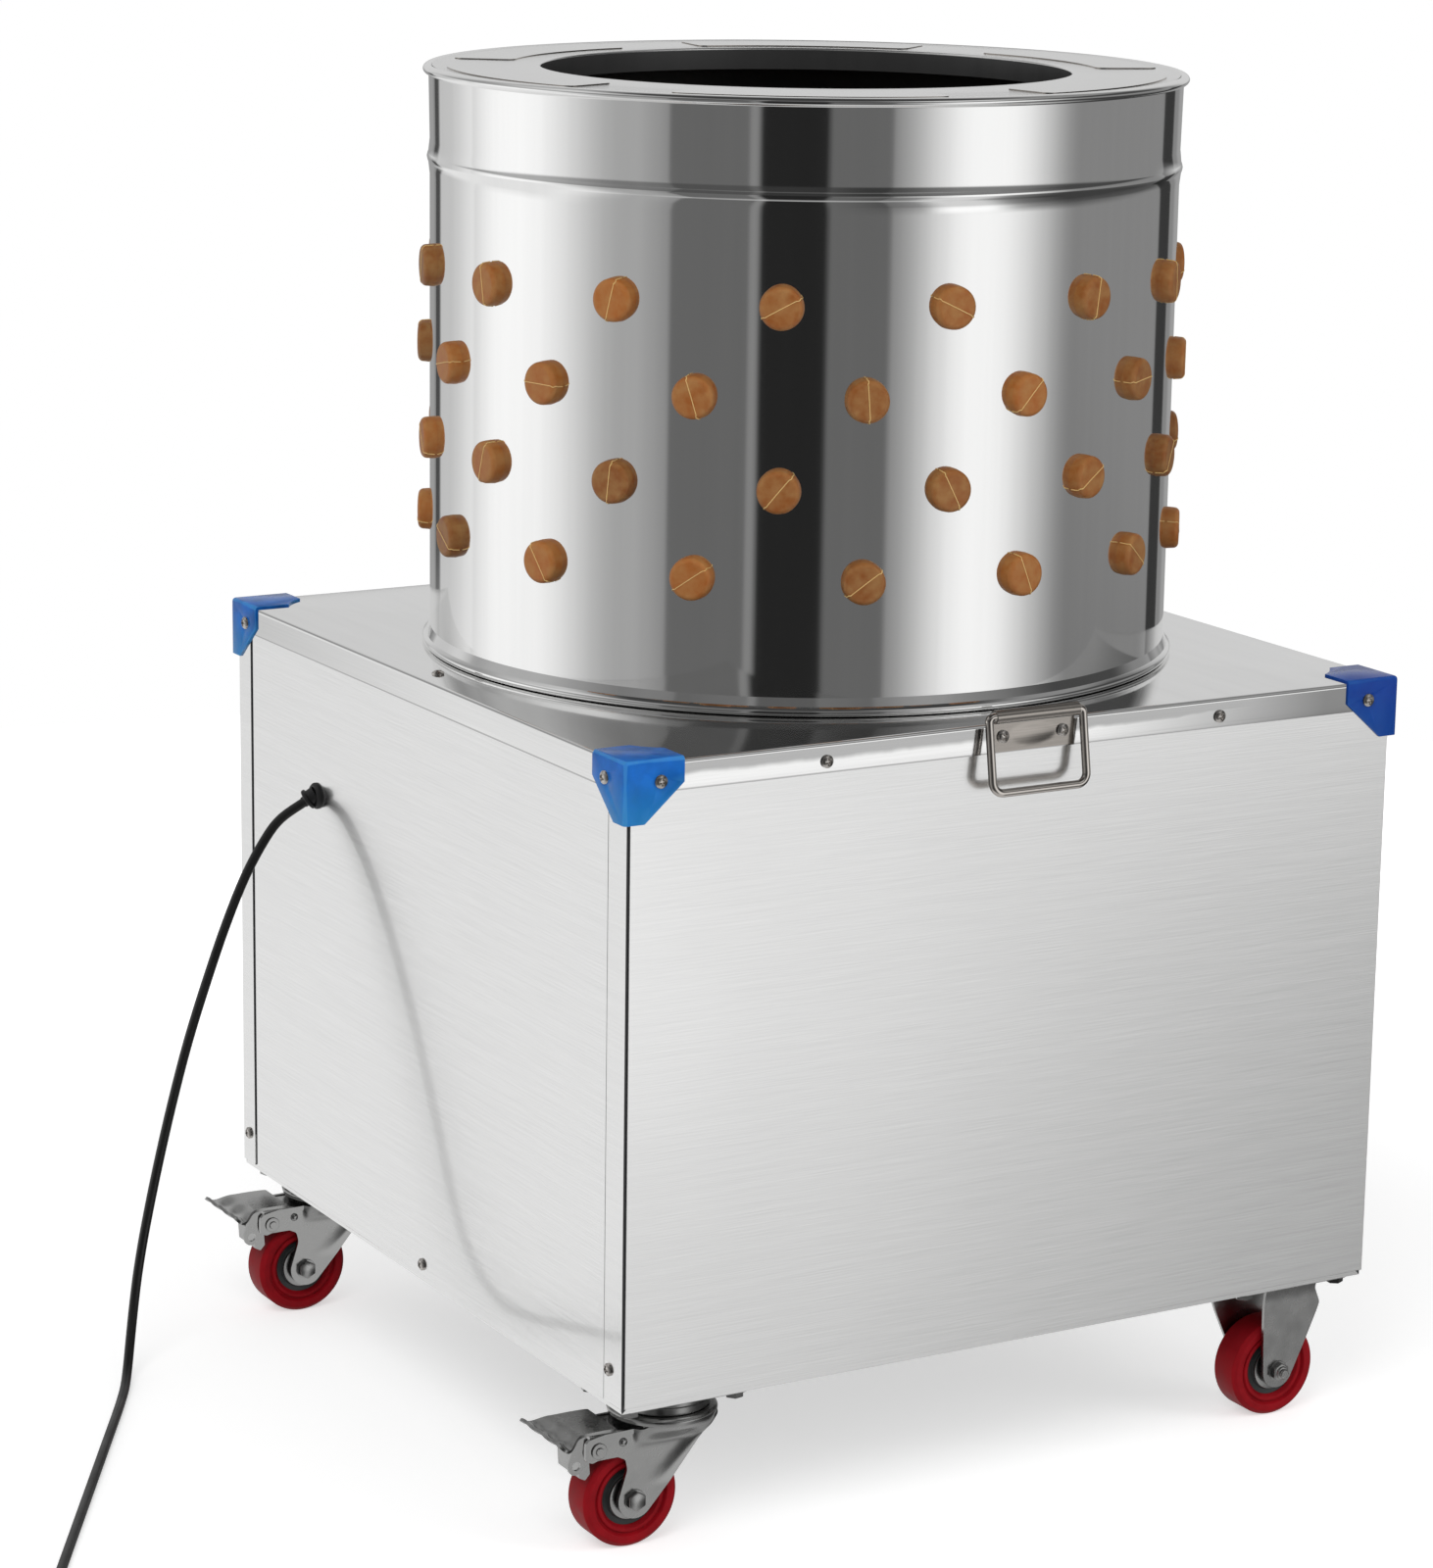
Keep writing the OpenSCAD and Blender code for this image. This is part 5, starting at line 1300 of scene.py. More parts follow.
class PLUCKER_OT_drum(bpy.types.Operator):
    """Make the drum shell with its bead, rim and base roll"""
    bl_idname = "plucker.drum"
    bl_label = "Drum"

    def execute(self, context):
        drum = context.scene.plucker_drum
        outer, inner = self.profiles(drum)
        mesh = mesh_of(lathe(outer + inner, drum.turns), "drum_wall", smooth=20)
        piece = add_piece("drum_wall", mesh, "drum", "cabinet", "polished_steel", "drum_shell")
        wall = drum.radius - 0.0008

        def shaded(face):
            middle = face.center
            inward = middle.x * face.normal.x + middle.y * face.normal.y < 0
            return inward and math.hypot(middle.x, middle.y) < wall and middle.z < RING_UNDER

        # Painted shade: the drum's inner faces below the top ring take near-black steel
        paint(piece.data, shaded, "inside")
        return {"FINISHED"}

    def profiles(self, drum):
        """Outer and inner half of the wall's profile, from the foot to the rim and back."""
        base = low("drum_shell").z
        radius, inside = drum.radius, drum.radius - drum.sheet
        roll = (radius + 0.0032, base + drum.base_roll + 0.0003)
        outer = [(drum.floor_radius, base), (radius + 0.002, base)]
        outer += arc(roll, drum.base_roll, -90, 50, 10)
        outer += [(radius + 0.0030, base + 0.0079), (radius, base + drum.base_flare)]
        bead = RIM_Z - drum.bead_drop
        for share in (-1.0, -0.6, *(BEAD_CREST * k / 5 for k in range(-5, 6)), 0.6, 1.0):
            ridge = drum.bead_ridge * max(0.0, 1 - (share / BEAD_CREST) ** 2)
            outer.append((radius + drum.bead_out * (1 - abs(share)) + ridge, bead + drum.bead_half * share))
        rim_z = RIM_Z - drum.rim
        for u, v in arc((0.0, 0.0), 1.0, -80, 90, 14):
            outer.append((radius + drum.rim_out * u, rim_z + drum.rim * v))
        inner = [(inside, rim_z + 0.0030), (inside, rim_z - 0.01), (inside, bead), (inside, base + 0.03),
                 (inside, base + drum.sheet), (drum.floor_radius, base + drum.sheet)]
        return outer, inner


class PLUCKER_OT_top_ring(bpy.types.Operator):
    """Make the ring on top of the drum with its mouth and pressed sectors"""
    bl_idname = "plucker.top_ring"
    bl_label = "Top ring"

    def execute(self, context):
        drum = context.scene.plucker_drum
        top, crown = RIM_Z - 0.0012, RIM_Z - 0.0004
        outside = drum.radius - drum.sheet - 0.0002
        mouth, hem = drum.mouth, drum.mouth + drum.sheet
        lip_low = low("drum_top_ring").z
        roll = 0.0022
        profile = [(outside, RING_UNDER), (outside, crown), (outside - 0.003, crown), (outside - 0.006, top),
                   (mouth + 0.012, top), (mouth + 0.007, top + 0.0004)]
        profile += arc((mouth + roll, crown - roll), roll, 80, 180, 10)
        profile += [(mouth, lip_low), (hem, lip_low), (hem, RING_UNDER)]
        sectors = [self.sector(drum, k * math.pi / 3, top) for k in range(6)]
        mesh = mesh_of(join(lathe(profile, drum.turns), *sectors), "top_ring", smooth=25)
        piece = add_piece("top_ring", mesh, "ring", "cabinet", "polished_steel", "drum_top_ring")

        def shaded(face):
            away = math.hypot(face.center.x, face.center.y)
            lip = away < mouth + 0.0005 and face.center.z < RIM_Z - roll
            groove = abs(face.normal.z) < 0.85 and mouth + 0.01 < away < outside - 0.007
            return 1 if lip else 2 if groove else 0

        # Painted shade: near-black steel on the mouth's lip and darker dull steel on the steep sides of the
        # pressed sectors
        paint(piece.data, shaded, "inside", "hinge")
        return {"FINISHED"}

    def sector(self, drum, middle, top):
        """A raised pressing with rounded corners, drawn straight and then bent round the ring."""
        span = drum.sector_half
        mean = (drum.sector_inner + drum.sector_outer) / 2
        flat = box_outline(-span * mean, span * mean, drum.sector_inner, drum.sector_outer, 0.008)
        outline = []
        for i, here in enumerate(flat):
            ahead = flat[(i + 1) % len(flat)]
            pieces = max(1, round((ahead - here).length / 0.006))
            outline += [here.lerp(ahead, k / pieces) for k in range(pieces)]
        bm = bmesh.new()
        rims = []
        crest = top + drum.sector_rise
        for inset, z in ((0.0, top - 0.0002), (0.0006, crest), (0.0030, crest)):
            ring = []
            shrink = 1 - inset / (span * mean)
            for u, v in outline:
                r = mean + (v - mean) * (1 - inset / (drum.sector_outer - mean))
                angle = middle + u * shrink / mean
                ring.append(bm.verts.new((r * math.cos(angle), r * math.sin(angle), z)))
            rims.append(ring)
        skin(bm, rims)
        bm.faces.new(rims[-1])
        bmesh.ops.recalc_face_normals(bm, faces=bm.faces)
        return bm


# Fingers

ROW_HEIGHTS = [TOP_Z + 0.1035 + 0.069 * k for k in (3, 2, 1, 0)]
ROW_FIRST = [math.radians(-123.6 - 6 * ROW_STEP), math.radians(-136.0 - 5 * ROW_STEP)]
ROW_COUNT = 14
DISC_Z = low("feather_disc").z
DISC_RINGS = [(0.235, 14), (0.165, 10), (0.100, 6)]


def finger_mesh(sizes, sheet):
    """A finger along +Z: round head below the sheet, ribs and taper above, a moulding ridge on the head."""
    r, depth, sunk = sizes.head_radius, sizes.head_depth, 0.0008
    head = rounded([(0, -depth, 0), (r - sunk, -depth, 0.0042), (r, sunk, 0), (0.0095, sunk, 0)])
    profile = [tuple(p) for p in head if p.x >= 0]
    outline = [(x, z) for x, z in profile if z < -0.0004]
    root = sheet + 0.0005
    profile += [(0.0098, root), (sizes.root_radius, root), (sizes.root_radius, root + 0.005)]
    start, end = root + 0.008, sizes.reach - 0.004
    thick = sizes.root_radius - 0.001
    for k in range(sizes.ribs):
        t = (k + 0.2) / sizes.ribs
        z = start + (end - start) * t
        radius = thick + (sizes.tip_radius - thick) * t
        valley = radius - 0.0012
        gap = (end - start) / sizes.ribs
        profile += [(valley, z), (radius, z + gap * 0.3), (radius, z + gap * 0.5), (valley, z + gap * 0.8)]
    profile += [(sizes.tip_radius, end), (sizes.tip_radius - 0.004, sizes.reach), (0, sizes.reach)]
    bm = lathe(profile, 36, closed=False)
    flash = bm.verts.layers.float.new("flash")
    half = sizes.ridge / 2
    line = [(-r, -sunk), *((-x, z) for x, z in reversed(outline[1:])), *outline, (r, -sunk)]
    grown_by = 1 + half / r
    rows = []
    for i, (x, z) in enumerate(line):
        x, z = x * grown_by, z - sizes.ridge / 3
        wobble = 0.0004 * math.sin(0.9 * i)
        inner, deep = x * 0.93, z + sunk
        row = [bm.verts.new(p) for p in ((inner, wobble - half, deep), (x, wobble - half * 0.6, z),
                                         (x, wobble + half * 0.6, z), (inner, wobble + half, deep))]
        for v in row:
            v[flash] = 1.0
        rows.append(row)
    ridge = skin(bm, rows) + [bm.faces.new(rows[0]), bm.faces.new(rows[-1])]
    bmesh.ops.recalc_face_normals(bm, faces=ridge)
    return mesh_of(bm, "finger", smooth=40)


class PLUCKER_OT_fingers(bpy.types.Operator):
    """Fill the drum's four rows and the turntable's three rings with rubber fingers"""
    bl_idname = "plucker.fingers"
    bl_label = "Rubber fingers"

    def execute(self, context):
        sizes = context.scene.plucker_finger
        drum = context.scene.plucker_drum
        part = finger_mesh(sizes, drum.sheet)
        for row in range(4):
            name = f"finger_row_{row + 1}"
            mesh = grown(name, ring_tree, part, "rubber", Count=ROW_COUNT, Radius=drum.radius,
                         Height=ROW_HEIGHTS[row], First=ROW_FIRST[row % 2], Step=sizes.step, Tilt=-math.pi / 2,
                         Turn=math.pi, Seed=sizes.seed + row)
            add_piece(name, mesh, "rubber", "cabinet", "finger_rubber", f"drum_fingers_{row + 1}")
        part = finger_mesh(sizes, high("feather_disc").z - DISC_Z)
        rings = bmesh.new()
        for k, (radius, count) in enumerate(DISC_RINGS):
            mesh = grown(f"disc_ring_{k}", ring_tree, part, "rubber", Count=count, Radius=radius, Height=DISC_Z,
                         First=0.0, Step=FULL_TURN / count, Tilt=0.0, Turn=math.pi, Seed=sizes.seed + 10 + k)
            rings.from_mesh(mesh)
        mesh = mesh_of(rings, "turntable_fingers", smooth=40)
        add_piece("turntable_fingers", mesh, "rubber", "turntable", "finger_rubber", "disc_fingers")
        return {"FINISHED"}


# Turntable and drive


class PLUCKER_OT_drive(bpy.types.Operator):
    """Make the turntable, its shaft, the belt drive and the motor"""
    bl_idname = "plucker.drive"
    bl_label = "Turntable and drive"

    def execute(self, context):
        disc_r = high("feather_disc").x
        top = high("feather_disc").z
        bore = 0.017
        profile = rounded([(bore, DISC_Z, 0), (disc_r, DISC_Z, 0.001), (disc_r, top, 0.0018), (bore, top, 0)])
        mesh = mesh_of(lathe(profile, 192), "turntable_disc", smooth=40)
        add_piece("turntable_disc", mesh, "ring", "turntable", "polished_steel", "feather_disc")
        for node, name, material, body, slot, width in (
                ("disc_hub", "turntable_hub", "iron", "turntable", "cast_iron", 0.001),
                ("drive_shaft", "turntable_shaft", "zinc", "turntable", "zinc_steel", 0.0006),
                ("drive_pulley", "large_pulley", "iron", "turntable", "cast_iron", 0.0008),
                ("motor_pulley", "small_pulley", "iron", "motor_rotor", "cast_iron", 0.0006),
                ("motor_shaft", "motor_spindle", "zinc", "motor_rotor", "zinc_steel", 0.0006),
                ("shaft_bearings", "bearing_housings", "iron", "cabinet", "cast_iron", 0.001),
                ("bearing_bridge", "bridge", "zinc", "cabinet", "zinc_steel", 0.001),
                ("motor_plate", "motor_mount", "zinc", "cabinet", "zinc_steel", 0.0006),
                ("motor_body", "motor", "frame", "cabinet", "motor_paint", 0.0006),
                ("v_belt", "belt", "belt", "cabinet", "belt_rubber", 0.0008)):
            add_piece(name, softened(merged(node), node, width), material, body, slot, node)
        return {"FINISHED"}


class PLUCKER_OT_switch(bpy.types.Operator):
    """Make the switch box with its two buttons"""
    bl_idname = "plucker.switch"
    bl_label = "Switch box"

    def execute(self, context):
        for node, name, material, body, slot, width in (
                ("switch_box", "switch_case", "black", "cabinet", "black_plastic", 0.0025),
                ("start_button", "start_cap", "start", "start_key", "green_plastic", 0.0012),
                ("stop_button", "stop_cap", "stop", "stop_key", "red_plastic", 0.0012)):
            add_piece(name, softened(merged(node), node, width), material, body, slot, node)
        return {"FINISHED"}


# Castors

LEG_IN = 0.0175
LEG_T = 0.003
LEG_OUT = LEG_IN + LEG_T
LEG_STEP = 0.002
CUT_DEPTH = 0.08
PIVOT = Vector((-TRAIL - 0.032, 0, 2 * WHEEL_R + 0.0055))
CROWN_R = 0.041
SWELL_Z, SWELL_HEIGHT = 0.082, 0.021
BEND_Z, BEND_HEIGHT, BEND_WIDTH, BEND_IN = 0.050, 0.030, 0.012, 0.0030
# A point on the swivel leg's free edge and the direction across that edge
EDGE_X, EDGE_Z, ACROSS_X, ACROSS_Z = 0.0405, 0.0985, -0.66, 0.75
LEAN_HEIGHT, LEAN_OUT = 0.018, 0.004
FOOT_HALF = (0.054, 0.040)
BOLT_OUT = (0.0455, 0.031)
BOLT_ACROSS = 0.0128
AXLE_R = 0.004
AXLE_ACROSS = 0.0138
RIVET_PLACE = Vector((-0.0445, 0, 0.0885))


def boss(x, radius, start, end):
    """Corners along the round end of a leg, clockwise from one angle to another in degrees."""
    return [(u, v, 0) for u, v in arc((x, WHEEL_R), radius, start, end, 16)]


SWIVEL_LEG = [(-0.022, FOOT_Z - 0.011, 0.004), (0.030, FOOT_Z - 0.011, 0.004), (0.0405, FOOT_Z - 0.020, 0.006),
              *boss(-0.033, 0.0150, -43, -195), (-0.0405, 0.0655, 0.010), (-0.0425, 0.0740, 0.004),
              (-0.0490, 0.0772, 0.003), (-0.0655, 0.0772, 0.002), (-0.0705, 0.0757, 0.003),
              (-0.0765, 0.0780, 0.004), (-0.0765, 0.0940, 0.006), (-0.0600, 0.0970, 0.004),
              (-0.0300, 0.0975, 0.006)]
RIGID_LEG = [(-0.015, FOOT_Z, 0), (0.035, FOOT_Z, 0), (0.0345, FOOT_Z - 0.012, 0.004),
             (0.040, FOOT_Z - 0.025, 0.006), (0.037, FOOT_Z - 0.033, 0.006), (0.029, 0.0675, 0.02),
             *boss(0.0, 0.0145, -22, -178), (-0.0155, 0.062, 0.01), (-0.016, FOOT_Z - 0.024, 0.01)]


def pressed_leg(outline, flare):
    """A leg cut from a sheet that swells out as flare says, on the -Y side; the wheel runs on its +Y side."""
    us, vs, _ = zip(*outline)
    columns = math.ceil((max(us) - min(us) + 0.01) / LEG_STEP)
    rows = math.ceil((max(vs) - min(vs) + 0.03) / LEG_STEP)
    heights = [min(vs) + j * LEG_STEP for j in range(rows + 1)]
    bm = bmesh.new()
    layers = []
    for offset in (0.0, LEG_T):
        layer = []
        for i in range(columns + 1):
            x = min(us) - 0.005 + i * LEG_STEP
            layer.append([bm.verts.new((x, -LEG_IN - offset - flare(x, z), z)) for z in heights])
        layers.append(layer)
    near, far = layers
    for layer in layers:
        grid(bm, layer)
    border = [(i, 0) for i in range(columns)] + [(columns, j) for j in range(rows)]
    border += [(i, rows) for i in range(columns, 0, -1)] + [(0, j) for j in range(rows, 0, -1)]
    for (i, j), (k, m) in zip(border, border[1:] + border[:1]):
        bm.faces.new((near[i][j], near[k][m], far[k][m], far[i][j]))
    tool = linked("cutter", mesh_of(plate(rounded(outline), CUT_DEPTH, upright(-CUT_DEPTH)), "cutter"))
    cut = modified(mesh_of(settled(bm), "leg"),
                   ("BOOLEAN", {"operation": "INTERSECT", "object": tool, "solver": "EXACT"}))
    bpy.data.objects.remove(tool)
    return opened(cut)


def both_sides(bm, turned=False):
    """A shape with its mirror image across the castor's middle plane, or with itself turned half round."""
    other = bm.copy()
    bmesh.ops.scale(other, vec=(-1 if turned else 1, -1, 1), verts=other.verts)
    if not turned:
        bmesh.ops.reverse_faces(other, faces=other.faces)
    return join(bm, other)


def swivel_flare(x, z):
    """How far the swivel fork's side swells to meet the round crown, and how its free edge bends inwards."""
    t = share_of(z, SWELL_Z, SWELL_HEIGHT)
    rim = math.sqrt(max(0.0, CROWN_R ** 2 - x * x))
    swell = eased(t) * max(0.0, rim - LEG_OUT)
    inset = ACROSS_Z * (z - EDGE_Z) + ACROSS_X * (x - EDGE_X)
    bend = max(0.0, 1 - max(0.0, inset) / BEND_WIDTH) ** 2 * share_of(z, BEND_Z, BEND_HEIGHT)
    return swell - BEND_IN * bend * (1 - t)


def rigid_flare(x, z):
    """How far the rigid fork's side leans out to its plate."""
    return LEAN_OUT * share_of(z, FOOT_Z - LEAN_HEIGHT, LEAN_HEIGHT) ** 2


def hexagon(across, height, place, chamfer=0.0009):
    """A bolt head or nut along +Z with chamfered corners."""
    r = across / math.sqrt(3)
    return lathe([(0, 0), (r, 0), (r, height - chamfer * 0.6), (r - chamfer, height), (0, height)], 6, place)


def axle_bolt(place, side):
    """Axle with its head on one side and a locking nut on the other."""
    head_way, nut_way = Vector((0, side, 0)), Vector((0, -side, 0))
    washer = [(0, 0), (0.0085, 0), (0.0085, 0.0012), (0.0, 0.0012)]
    thread = [(0, 0), (AXLE_R, 0), (AXLE_R, 0.0098), (0.0033, 0.0106), (0, 0.0106)]
    collar = [(0, 0.0055), (0.0056, 0.0055), (0.0052, 0.0076), (0.0042, 0.0080), (0, 0.0080)]
    rod = [(0, 0), (AXLE_R, 0), (AXLE_R, 2 * LEG_OUT), (0, 2 * LEG_OUT)]
    far = facing(place + nut_way * LEG_OUT, nut_way)
    near = facing(place + head_way * LEG_OUT, head_way)
    shaft = lathe(rod, 24, facing(place - head_way * LEG_OUT, head_way))
    return join(shaft, lathe(washer, 28, near), lathe(washer, 28, far), hexagon(AXLE_ACROSS, 0.0053, near),
                hexagon(AXLE_ACROSS, 0.0060, far), lathe(collar, 24, far), lathe(thread, 20, far))


def foot_plate(place):
    """The plate by which a castor is bolted on."""
    u, v = FOOT_HALF
    return plate(box_outline(-u, u, -v, v, 0.006), FOOT_T, Matrix.Translation(place + Vector((0, 0, FOOT_Z))))


class PLUCKER_OT_castors(bpy.types.Operator):
    """Make the castors' plates, forks, axles, pedals and bolts"""
    bl_idname = "plucker.castors"
    bl_label = "Castors"

    def execute(self, context):
        swivels = [c for c in CASTOR_PLACES if c.endswith("left")]
        plates = join(*[self.swivel_plate(CASTOR_PLACES[c]) for c in swivels])
        self.put("swivel_bases", plates, "cabinet", "swivel_plates", round_edge=0.0005)
        axles = []
        for corner, place in CASTOR_PLACES.items():
            if corner in swivels:
                hub = place + Vector((-TRAIL, 0, WHEEL_R))
                body = f"{corner}_fork"
                self.put(f"fork_{corner}", self.swivel_fork(place), body, f"castor_fork_{corner}")
                self.put(f"axle_{corner}", axle_bolt(hub, -1), body, f"castor_axle_{corner}", round_edge=0.0003)
                self.put(f"pedal_{corner}", self.pedal(place), f"{corner}_pedal", f"brake_pedal_{corner}")
            else:
                self.put(f"fork_{corner}", self.rigid_fork(place), "cabinet", f"rigid_fork_{corner}")
                axles.append(axle_bolt(place + Vector((0, 0, WHEEL_R)), 1))
        self.put("fixed_axles", join(*axles), "cabinet", "rigid_axles", round_edge=0.0003)
        self.bolts()
        self.rivets(swivels)
        return {"FINISHED"}

    def put(self, name, bm, body, node, round_edge=0.0):
        """A zinc-plated piece; mirrors leave the pedals out."""
        mesh = mesh_of(bm, name, smooth=40)
        if round_edge:
            mesh = modified(mesh, bevel(round_edge))
        piece = add_piece(name, mesh, "zinc", body, "zinc_steel", node)
        piece.visible_glossy = not name.startswith("pedal")

    def swivel_plate(self, place):
        """Top plate with the stepped race that the crown turns in, and the kingpin below it."""
        z = FOOT_Z
        race = rounded([(0, z - 0.0005, 0), (0.0385, z - 0.0005, 0), (0.0385, z - 0.003, 0.001),
                        (0.037, z - 0.0045, 0.001), (0.037, z - 0.0104, 0.0008), (0, z - 0.0104, 0)])
        pin = rounded([(0, z - 0.010, 0), (0.006, z - 0.010, 0), (0.006, z - 0.0155, 0),
                       (0.011, z - 0.0155, 0.0005), (0.011, z - 0.0185, 0.001), (0.008, z - 0.0195, 0.0005),
                       (0, z - 0.0195, 0)])
        spot = Matrix.Translation(place)
        turned = [lathe(shape, 64, spot) for shape in (race, pin)]
        return join(foot_plate(place), *turned)

    def swivel_fork(self, place):
        """Two pressed legs below a crown, with the bridge that carries the pedal."""
        leg = both_sides(pressed_leg(SWIVEL_LEG, swivel_flare))
        z = FOOT_Z - 0.015
        crown = rounded([(0.0062, z, 0), (CROWN_R - 0.001, z, 0), (CROWN_R + 0.0005, z - 0.004, 0.001),
                         (CROWN_R + 0.0020, z + 0.0015, 0.002), (CROWN_R - 0.001, z + 0.0042, 0.002),
                         (0.0062, z + 0.0042, 0)])
        bridge = block(PIVOT.x - 0.006, PIVOT.x + 0.040, -LEG_IN - 0.001, LEG_IN + 0.001, PIVOT.z + 0.0085,
                       PIVOT.z + 0.011)
        whole = join(leg, lathe(crown, 72), bridge)
        bmesh.ops.translate(whole, vec=place, verts=whole.verts)
        return whole

    def rigid_fork(self, place):
        """Two pressed legs below a plate."""
        leg = both_sides(pressed_leg(RIGID_LEG, rigid_flare), turned=True)
        bridge = block(-0.015, 0.015, -LEG_IN - 0.001, LEG_IN + 0.001, FOOT_Z - 0.003, FOOT_Z + 0.0005)
        whole = join(leg, bridge)
        bmesh.ops.translate(whole, vec=place, verts=whole.verts)
        return join(whole, foot_plate(place))

    def pedal(self, place):
        """Wavy tread with flutes, a tab with an eyelet, cheeks on the pin and the shoe that stops the tyre."""
        line = [(0.014, 0.0150, 0.0235), (0.004, 0.0154, 0.0235), (-0.008, 0.0154, 0.0235),
                (-0.016, 0.0152, 0.0236), (-0.020, 0.0146, 0.0255), (-0.0245, 0.0120, 0.0295),
                (-0.0285, 0.0100, 0.0328), (-0.0320, 0.0098, 0.0350), (-0.0350, 0.0113, 0.0361),
                (-0.0375, 0.0134, 0.0350), (-0.0388, 0.0147, 0.0320)]
        flute, flute_out = 0.036, 0.0007
        bm = bmesh.new()
        columns = 28
        rows = []
        for x, z, half in line:
            rise = flute_out * share_of(-x, 0.018, 0.008)
            ys = [half * (2 * k / columns - 1) for k in range(columns + 1)]
            rows.append([bm.verts.new((x, y, z + rise * math.cos(y / flute * 3 * math.pi))) for y in ys])
        grid(bm, rows)
        bmesh.ops.recalc_face_normals(bm, faces=bm.faces)
        tread = modified(mesh_of(bm, "tread"), ("SUBSURF", {"levels": 1, "render_levels": 1}),
                         ("SOLIDIFY", {"thickness": 0.0024, "offset": 0.0}))
        tab = rounded([(-0.0135, 0.0150, 0), (-0.0150, 0.0020, 0.003), (-0.0128, -0.0070, 0.003),
                       (-0.0160, -0.0150, 0.006), (-0.0250, -0.0150, 0.006), (-0.0275, -0.0070, 0.006),
                       (-0.0235, 0.0060, 0.004), (-0.0205, 0.0150, 0)])
        out = LEG_OUT + 0.0006
        tab_t = 0.0025
        eyelet = circle((-0.0200, -0.0080), 0.0036, 24)
        cheek = rounded([(-0.019, 0.0150, 0), (-0.008, 0.0150, 0), (-0.008, 0.0052, 0.001),
                         (0.005, 0.0052, 0.005), (0.005, -0.0052, 0.005), (-0.010, -0.0090, 0.004),
                         (-0.0155, -0.008, 0.003), (-0.017, 0.004, 0.004)])
        sides = [plate(tab, tab_t, upright(-out - tab_t), [eyelet])]
        sides += [plate(cheek, 0.002, upright(y)) for y in (-LEG_IN + 0.0005, LEG_IN - 0.0025)]
        end = out + tab_t + 0.0015
        head = 0.0064
        half_pin = [(0.0025, out), (head, out), (head, end - 0.0022), (head - 0.0004, end - 0.0018),
                    (0.0034, end - 0.0018), (0.0034, end - 0.001), (0.0030, end), (0, end)]
        pin = lathe([(r, -w) for r, w in reversed(half_pin)] + half_pin, 28, facing((0, 0, 0), (0, 1, 0)))
        shoe = plate(rounded([(-0.005, -0.019, 0.001), (-0.009, -0.0235, 0.001), (-0.014, -0.021, 0.001),
                              (-0.015, -0.006, 0.001), (-0.006, -0.006, 0.001)]), 2 * LEG_IN - 0.001,
                     upright(-LEG_IN + 0.0005))
        whole = join(opened(tread), *sides, pin, shoe)
        bmesh.ops.translate(whole, vec=place + PIVOT, verts=whole.verts)
        return whole

    def bolts(self):
        """Bolts of the castor plates: heads below, nuts inside the rails."""
        u, v = BOLT_OUT
        places = [(place + Vector((x, y, FOOT_Z)), Vector((0, 0, -1)))
                  for place in CASTOR_PLACES.values() for x in (-u, u) for y in (-v, v)]
        shank = [(0, -0.0155), (0.004, -0.0155), (0.004, 0.001), (0, 0.001)]
        nut = hexagon(BOLT_ACROSS, 0.0065, Matrix.Translation((0, 0, -0.0125)))
        head = hexagon(BOLT_ACROSS, 0.0053, Matrix.Identity(4))
        part = mesh_of(join(head, lathe(shank, 20), nut), "bolt", smooth=30)
        mesh = grown("plate_bolts", scatter_tree, part, "zinc", spots(places), Turn=math.pi / 3, Seed=3)
        add_piece("plate_bolts", mesh, "zinc", "cabinet", "zinc_steel", "castor_bolts")

    def rivets(self, swivels):
        """Domed rivets on the swivel forks' arms."""
        profile = [(0, -0.001), (0.0034, -0.001), (0.0034, 0.0004), (0.0028, 0.0014), (0.0016, 0.0020),
                   (0, 0.0022)]
        dome = mesh_of(lathe(profile, 20), "rivet", smooth=50)
        for corner in swivels:
            spot = CASTOR_PLACES[corner] + RIVET_PLACE
            places = [(spot + Vector((0, s * LEG_OUT, 0)), Vector((0, s, 0))) for s in (-1, 1)]
            mesh = grown(f"rivets_{corner}", scatter_tree, dome, "zinc", spots(places), Turn=1.0, Seed=2)
            add_piece(f"rivets_{corner}", mesh, "zinc", f"{corner}_fork", "zinc_steel")


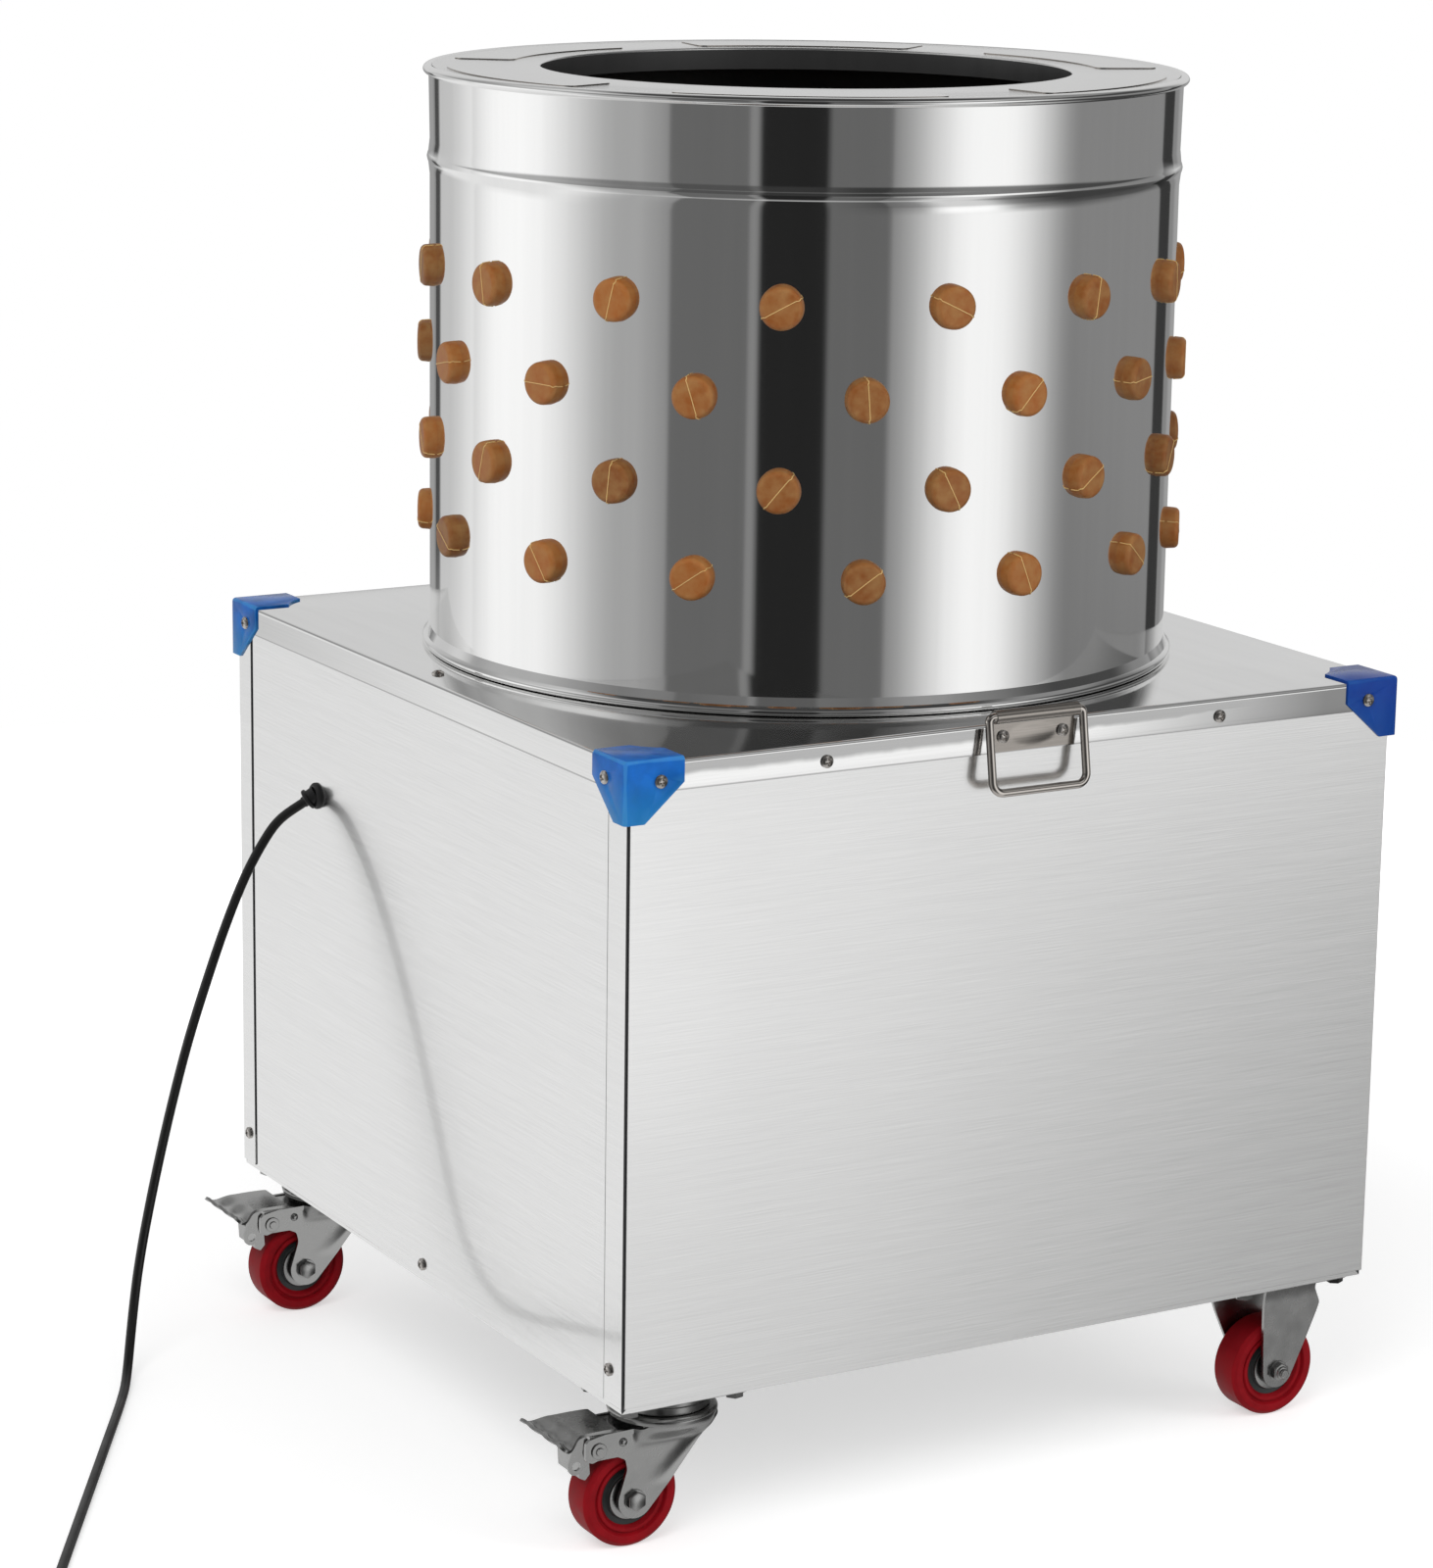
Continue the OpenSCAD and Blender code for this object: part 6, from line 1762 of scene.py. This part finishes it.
class PLUCKER_OT_wheels(bpy.types.Operator):
    """Make the tyres, hubs and wheel bearings"""
    bl_idname = "plucker.wheels"
    bl_label = "Wheels"

    def execute(self, context):
        side = [(0.0231, 0.0110, 0), (0.0256, 0.0137, 0.0006), (0.0280, 0.0137, 0.0006),
                (0.0290, 0.0121, 0.0004), (0.0300, 0.0121, 0.0004), (0.0312, 0.0150, 0.001),
                (0.0366, 0.0154, 0.002), (WHEEL_R, 0.0122, 0.002)]
        tyre = rounded(side + [(r, -w, c) for r, w, c in reversed(side)])
        face = [(0.0042, 0.0125, 0), (0.0100, 0.0125, 0.0005), (0.0105, 0.0106, 0.0005),
                (0.0165, 0.0100, 0.0005), (0.0172, 0.0113, 0.0003), (0.0184, 0.0113, 0.0003),
                (0.0190, 0.0096, 0.0004), (0.0231, 0.0105, 0)]
        hub = rounded(face + [(r, -w, c) for r, w, c in reversed(face)])
        ring = rounded([(0.0043, 0.0120, 0), (0.0043, 0.0171, 0), (0.0110, 0.0171, 0.0006), (0.0113, 0.0140, 0),
                        (0.0178, 0.0134, 0.0004), (0.0178, 0.0100, 0)])
        for corner, place in CASTOR_PLACES.items():
            back = TRAIL if corner.endswith("left") else 0.0
            spot = facing(place + Vector((-back, 0, WHEEL_R)), (0, 1, 0))
            body = f"{corner}_wheel"
            mesh = mesh_of(lathe(tyre, 96, spot), f"tread_{corner}", smooth=40)
            add_piece(f"tread_{corner}", mesh, "tyre", body, "red_tyre", f"tyre_{corner}")
            mesh = mesh_of(lathe(hub, 72, spot), f"core_{corner}", smooth=40)
            add_piece(f"core_{corner}", mesh, "hub", body, "black_plastic", f"hub_{corner}")
            rings = [lathe([(r, s * w) for r, w in ring], 48, spot) for s in (-1, 1)]
            mesh = mesh_of(join(*rings), f"bearing_{corner}", smooth=40)
            add_piece(f"bearing_{corner}", mesh, "zinc", body, "zinc_steel")
        return {"FINISHED"}


# Add-on


class PLUCKER_PT_panel(bpy.types.Panel):
    """Lists the pieces and the sizes of the plucker"""
    bl_idname = "PLUCKER_PT_panel"
    bl_label = "Poultry plucker"
    bl_space_type = "VIEW_3D"
    bl_region_type = "UI"
    bl_category = "Plucker"

    def draw(self, context):
        for operator in OPERATORS:
            self.layout.operator(operator.bl_idname)
        for label in SETTINGS:
            group = getattr(context.scene, label)
            column = self.layout.box().column()
            for name in group.bl_rna.properties.keys():
                if name not in ("rna_type", "name"):
                    column.prop(group, name)


SETTINGS = {
    "plucker_stage": StageSettings,
    "plucker_drum": DrumSettings,
    "plucker_finger": FingerSettings,
    "plucker_cabinet": CabinetSettings,
    "plucker_finish": FinishSettings,
}
OPERATORS = [
    PLUCKER_OT_stage, PLUCKER_OT_cord, PLUCKER_OT_cabinet, PLUCKER_OT_guards, PLUCKER_OT_screws,
    PLUCKER_OT_handles, PLUCKER_OT_drum, PLUCKER_OT_top_ring, PLUCKER_OT_fingers, PLUCKER_OT_drive,
    PLUCKER_OT_switch, PLUCKER_OT_castors, PLUCKER_OT_wheels,
]


def register():
    for group in SETTINGS.values():
        bpy.utils.register_class(group)
    for label, group in SETTINGS.items():
        setattr(bpy.types.Scene, label, PointerProperty(type=group))
    for made in (*OPERATORS, PLUCKER_PT_panel):
        bpy.utils.register_class(made)


def unregister():
    for made in (PLUCKER_PT_panel, *reversed(OPERATORS)):
        bpy.utils.unregister_class(made)
    for label in SETTINGS:
        delattr(bpy.types.Scene, label)
    for group in SETTINGS.values():
        bpy.utils.unregister_class(group)


def main():
    register()
    bpy.ops.plucker.stage()
    bpy.ops.plucker.cord()
    bpy.ops.plucker.cabinet()
    bpy.ops.plucker.guards()
    bpy.ops.plucker.screws()
    bpy.ops.plucker.handles()
    bpy.ops.plucker.drum()
    bpy.ops.plucker.top_ring()
    bpy.ops.plucker.fingers()
    bpy.ops.plucker.drive()
    bpy.ops.plucker.switch()
    bpy.ops.plucker.castors()
    bpy.ops.plucker.wheels()
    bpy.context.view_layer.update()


if __name__ == "__main__":
    main()
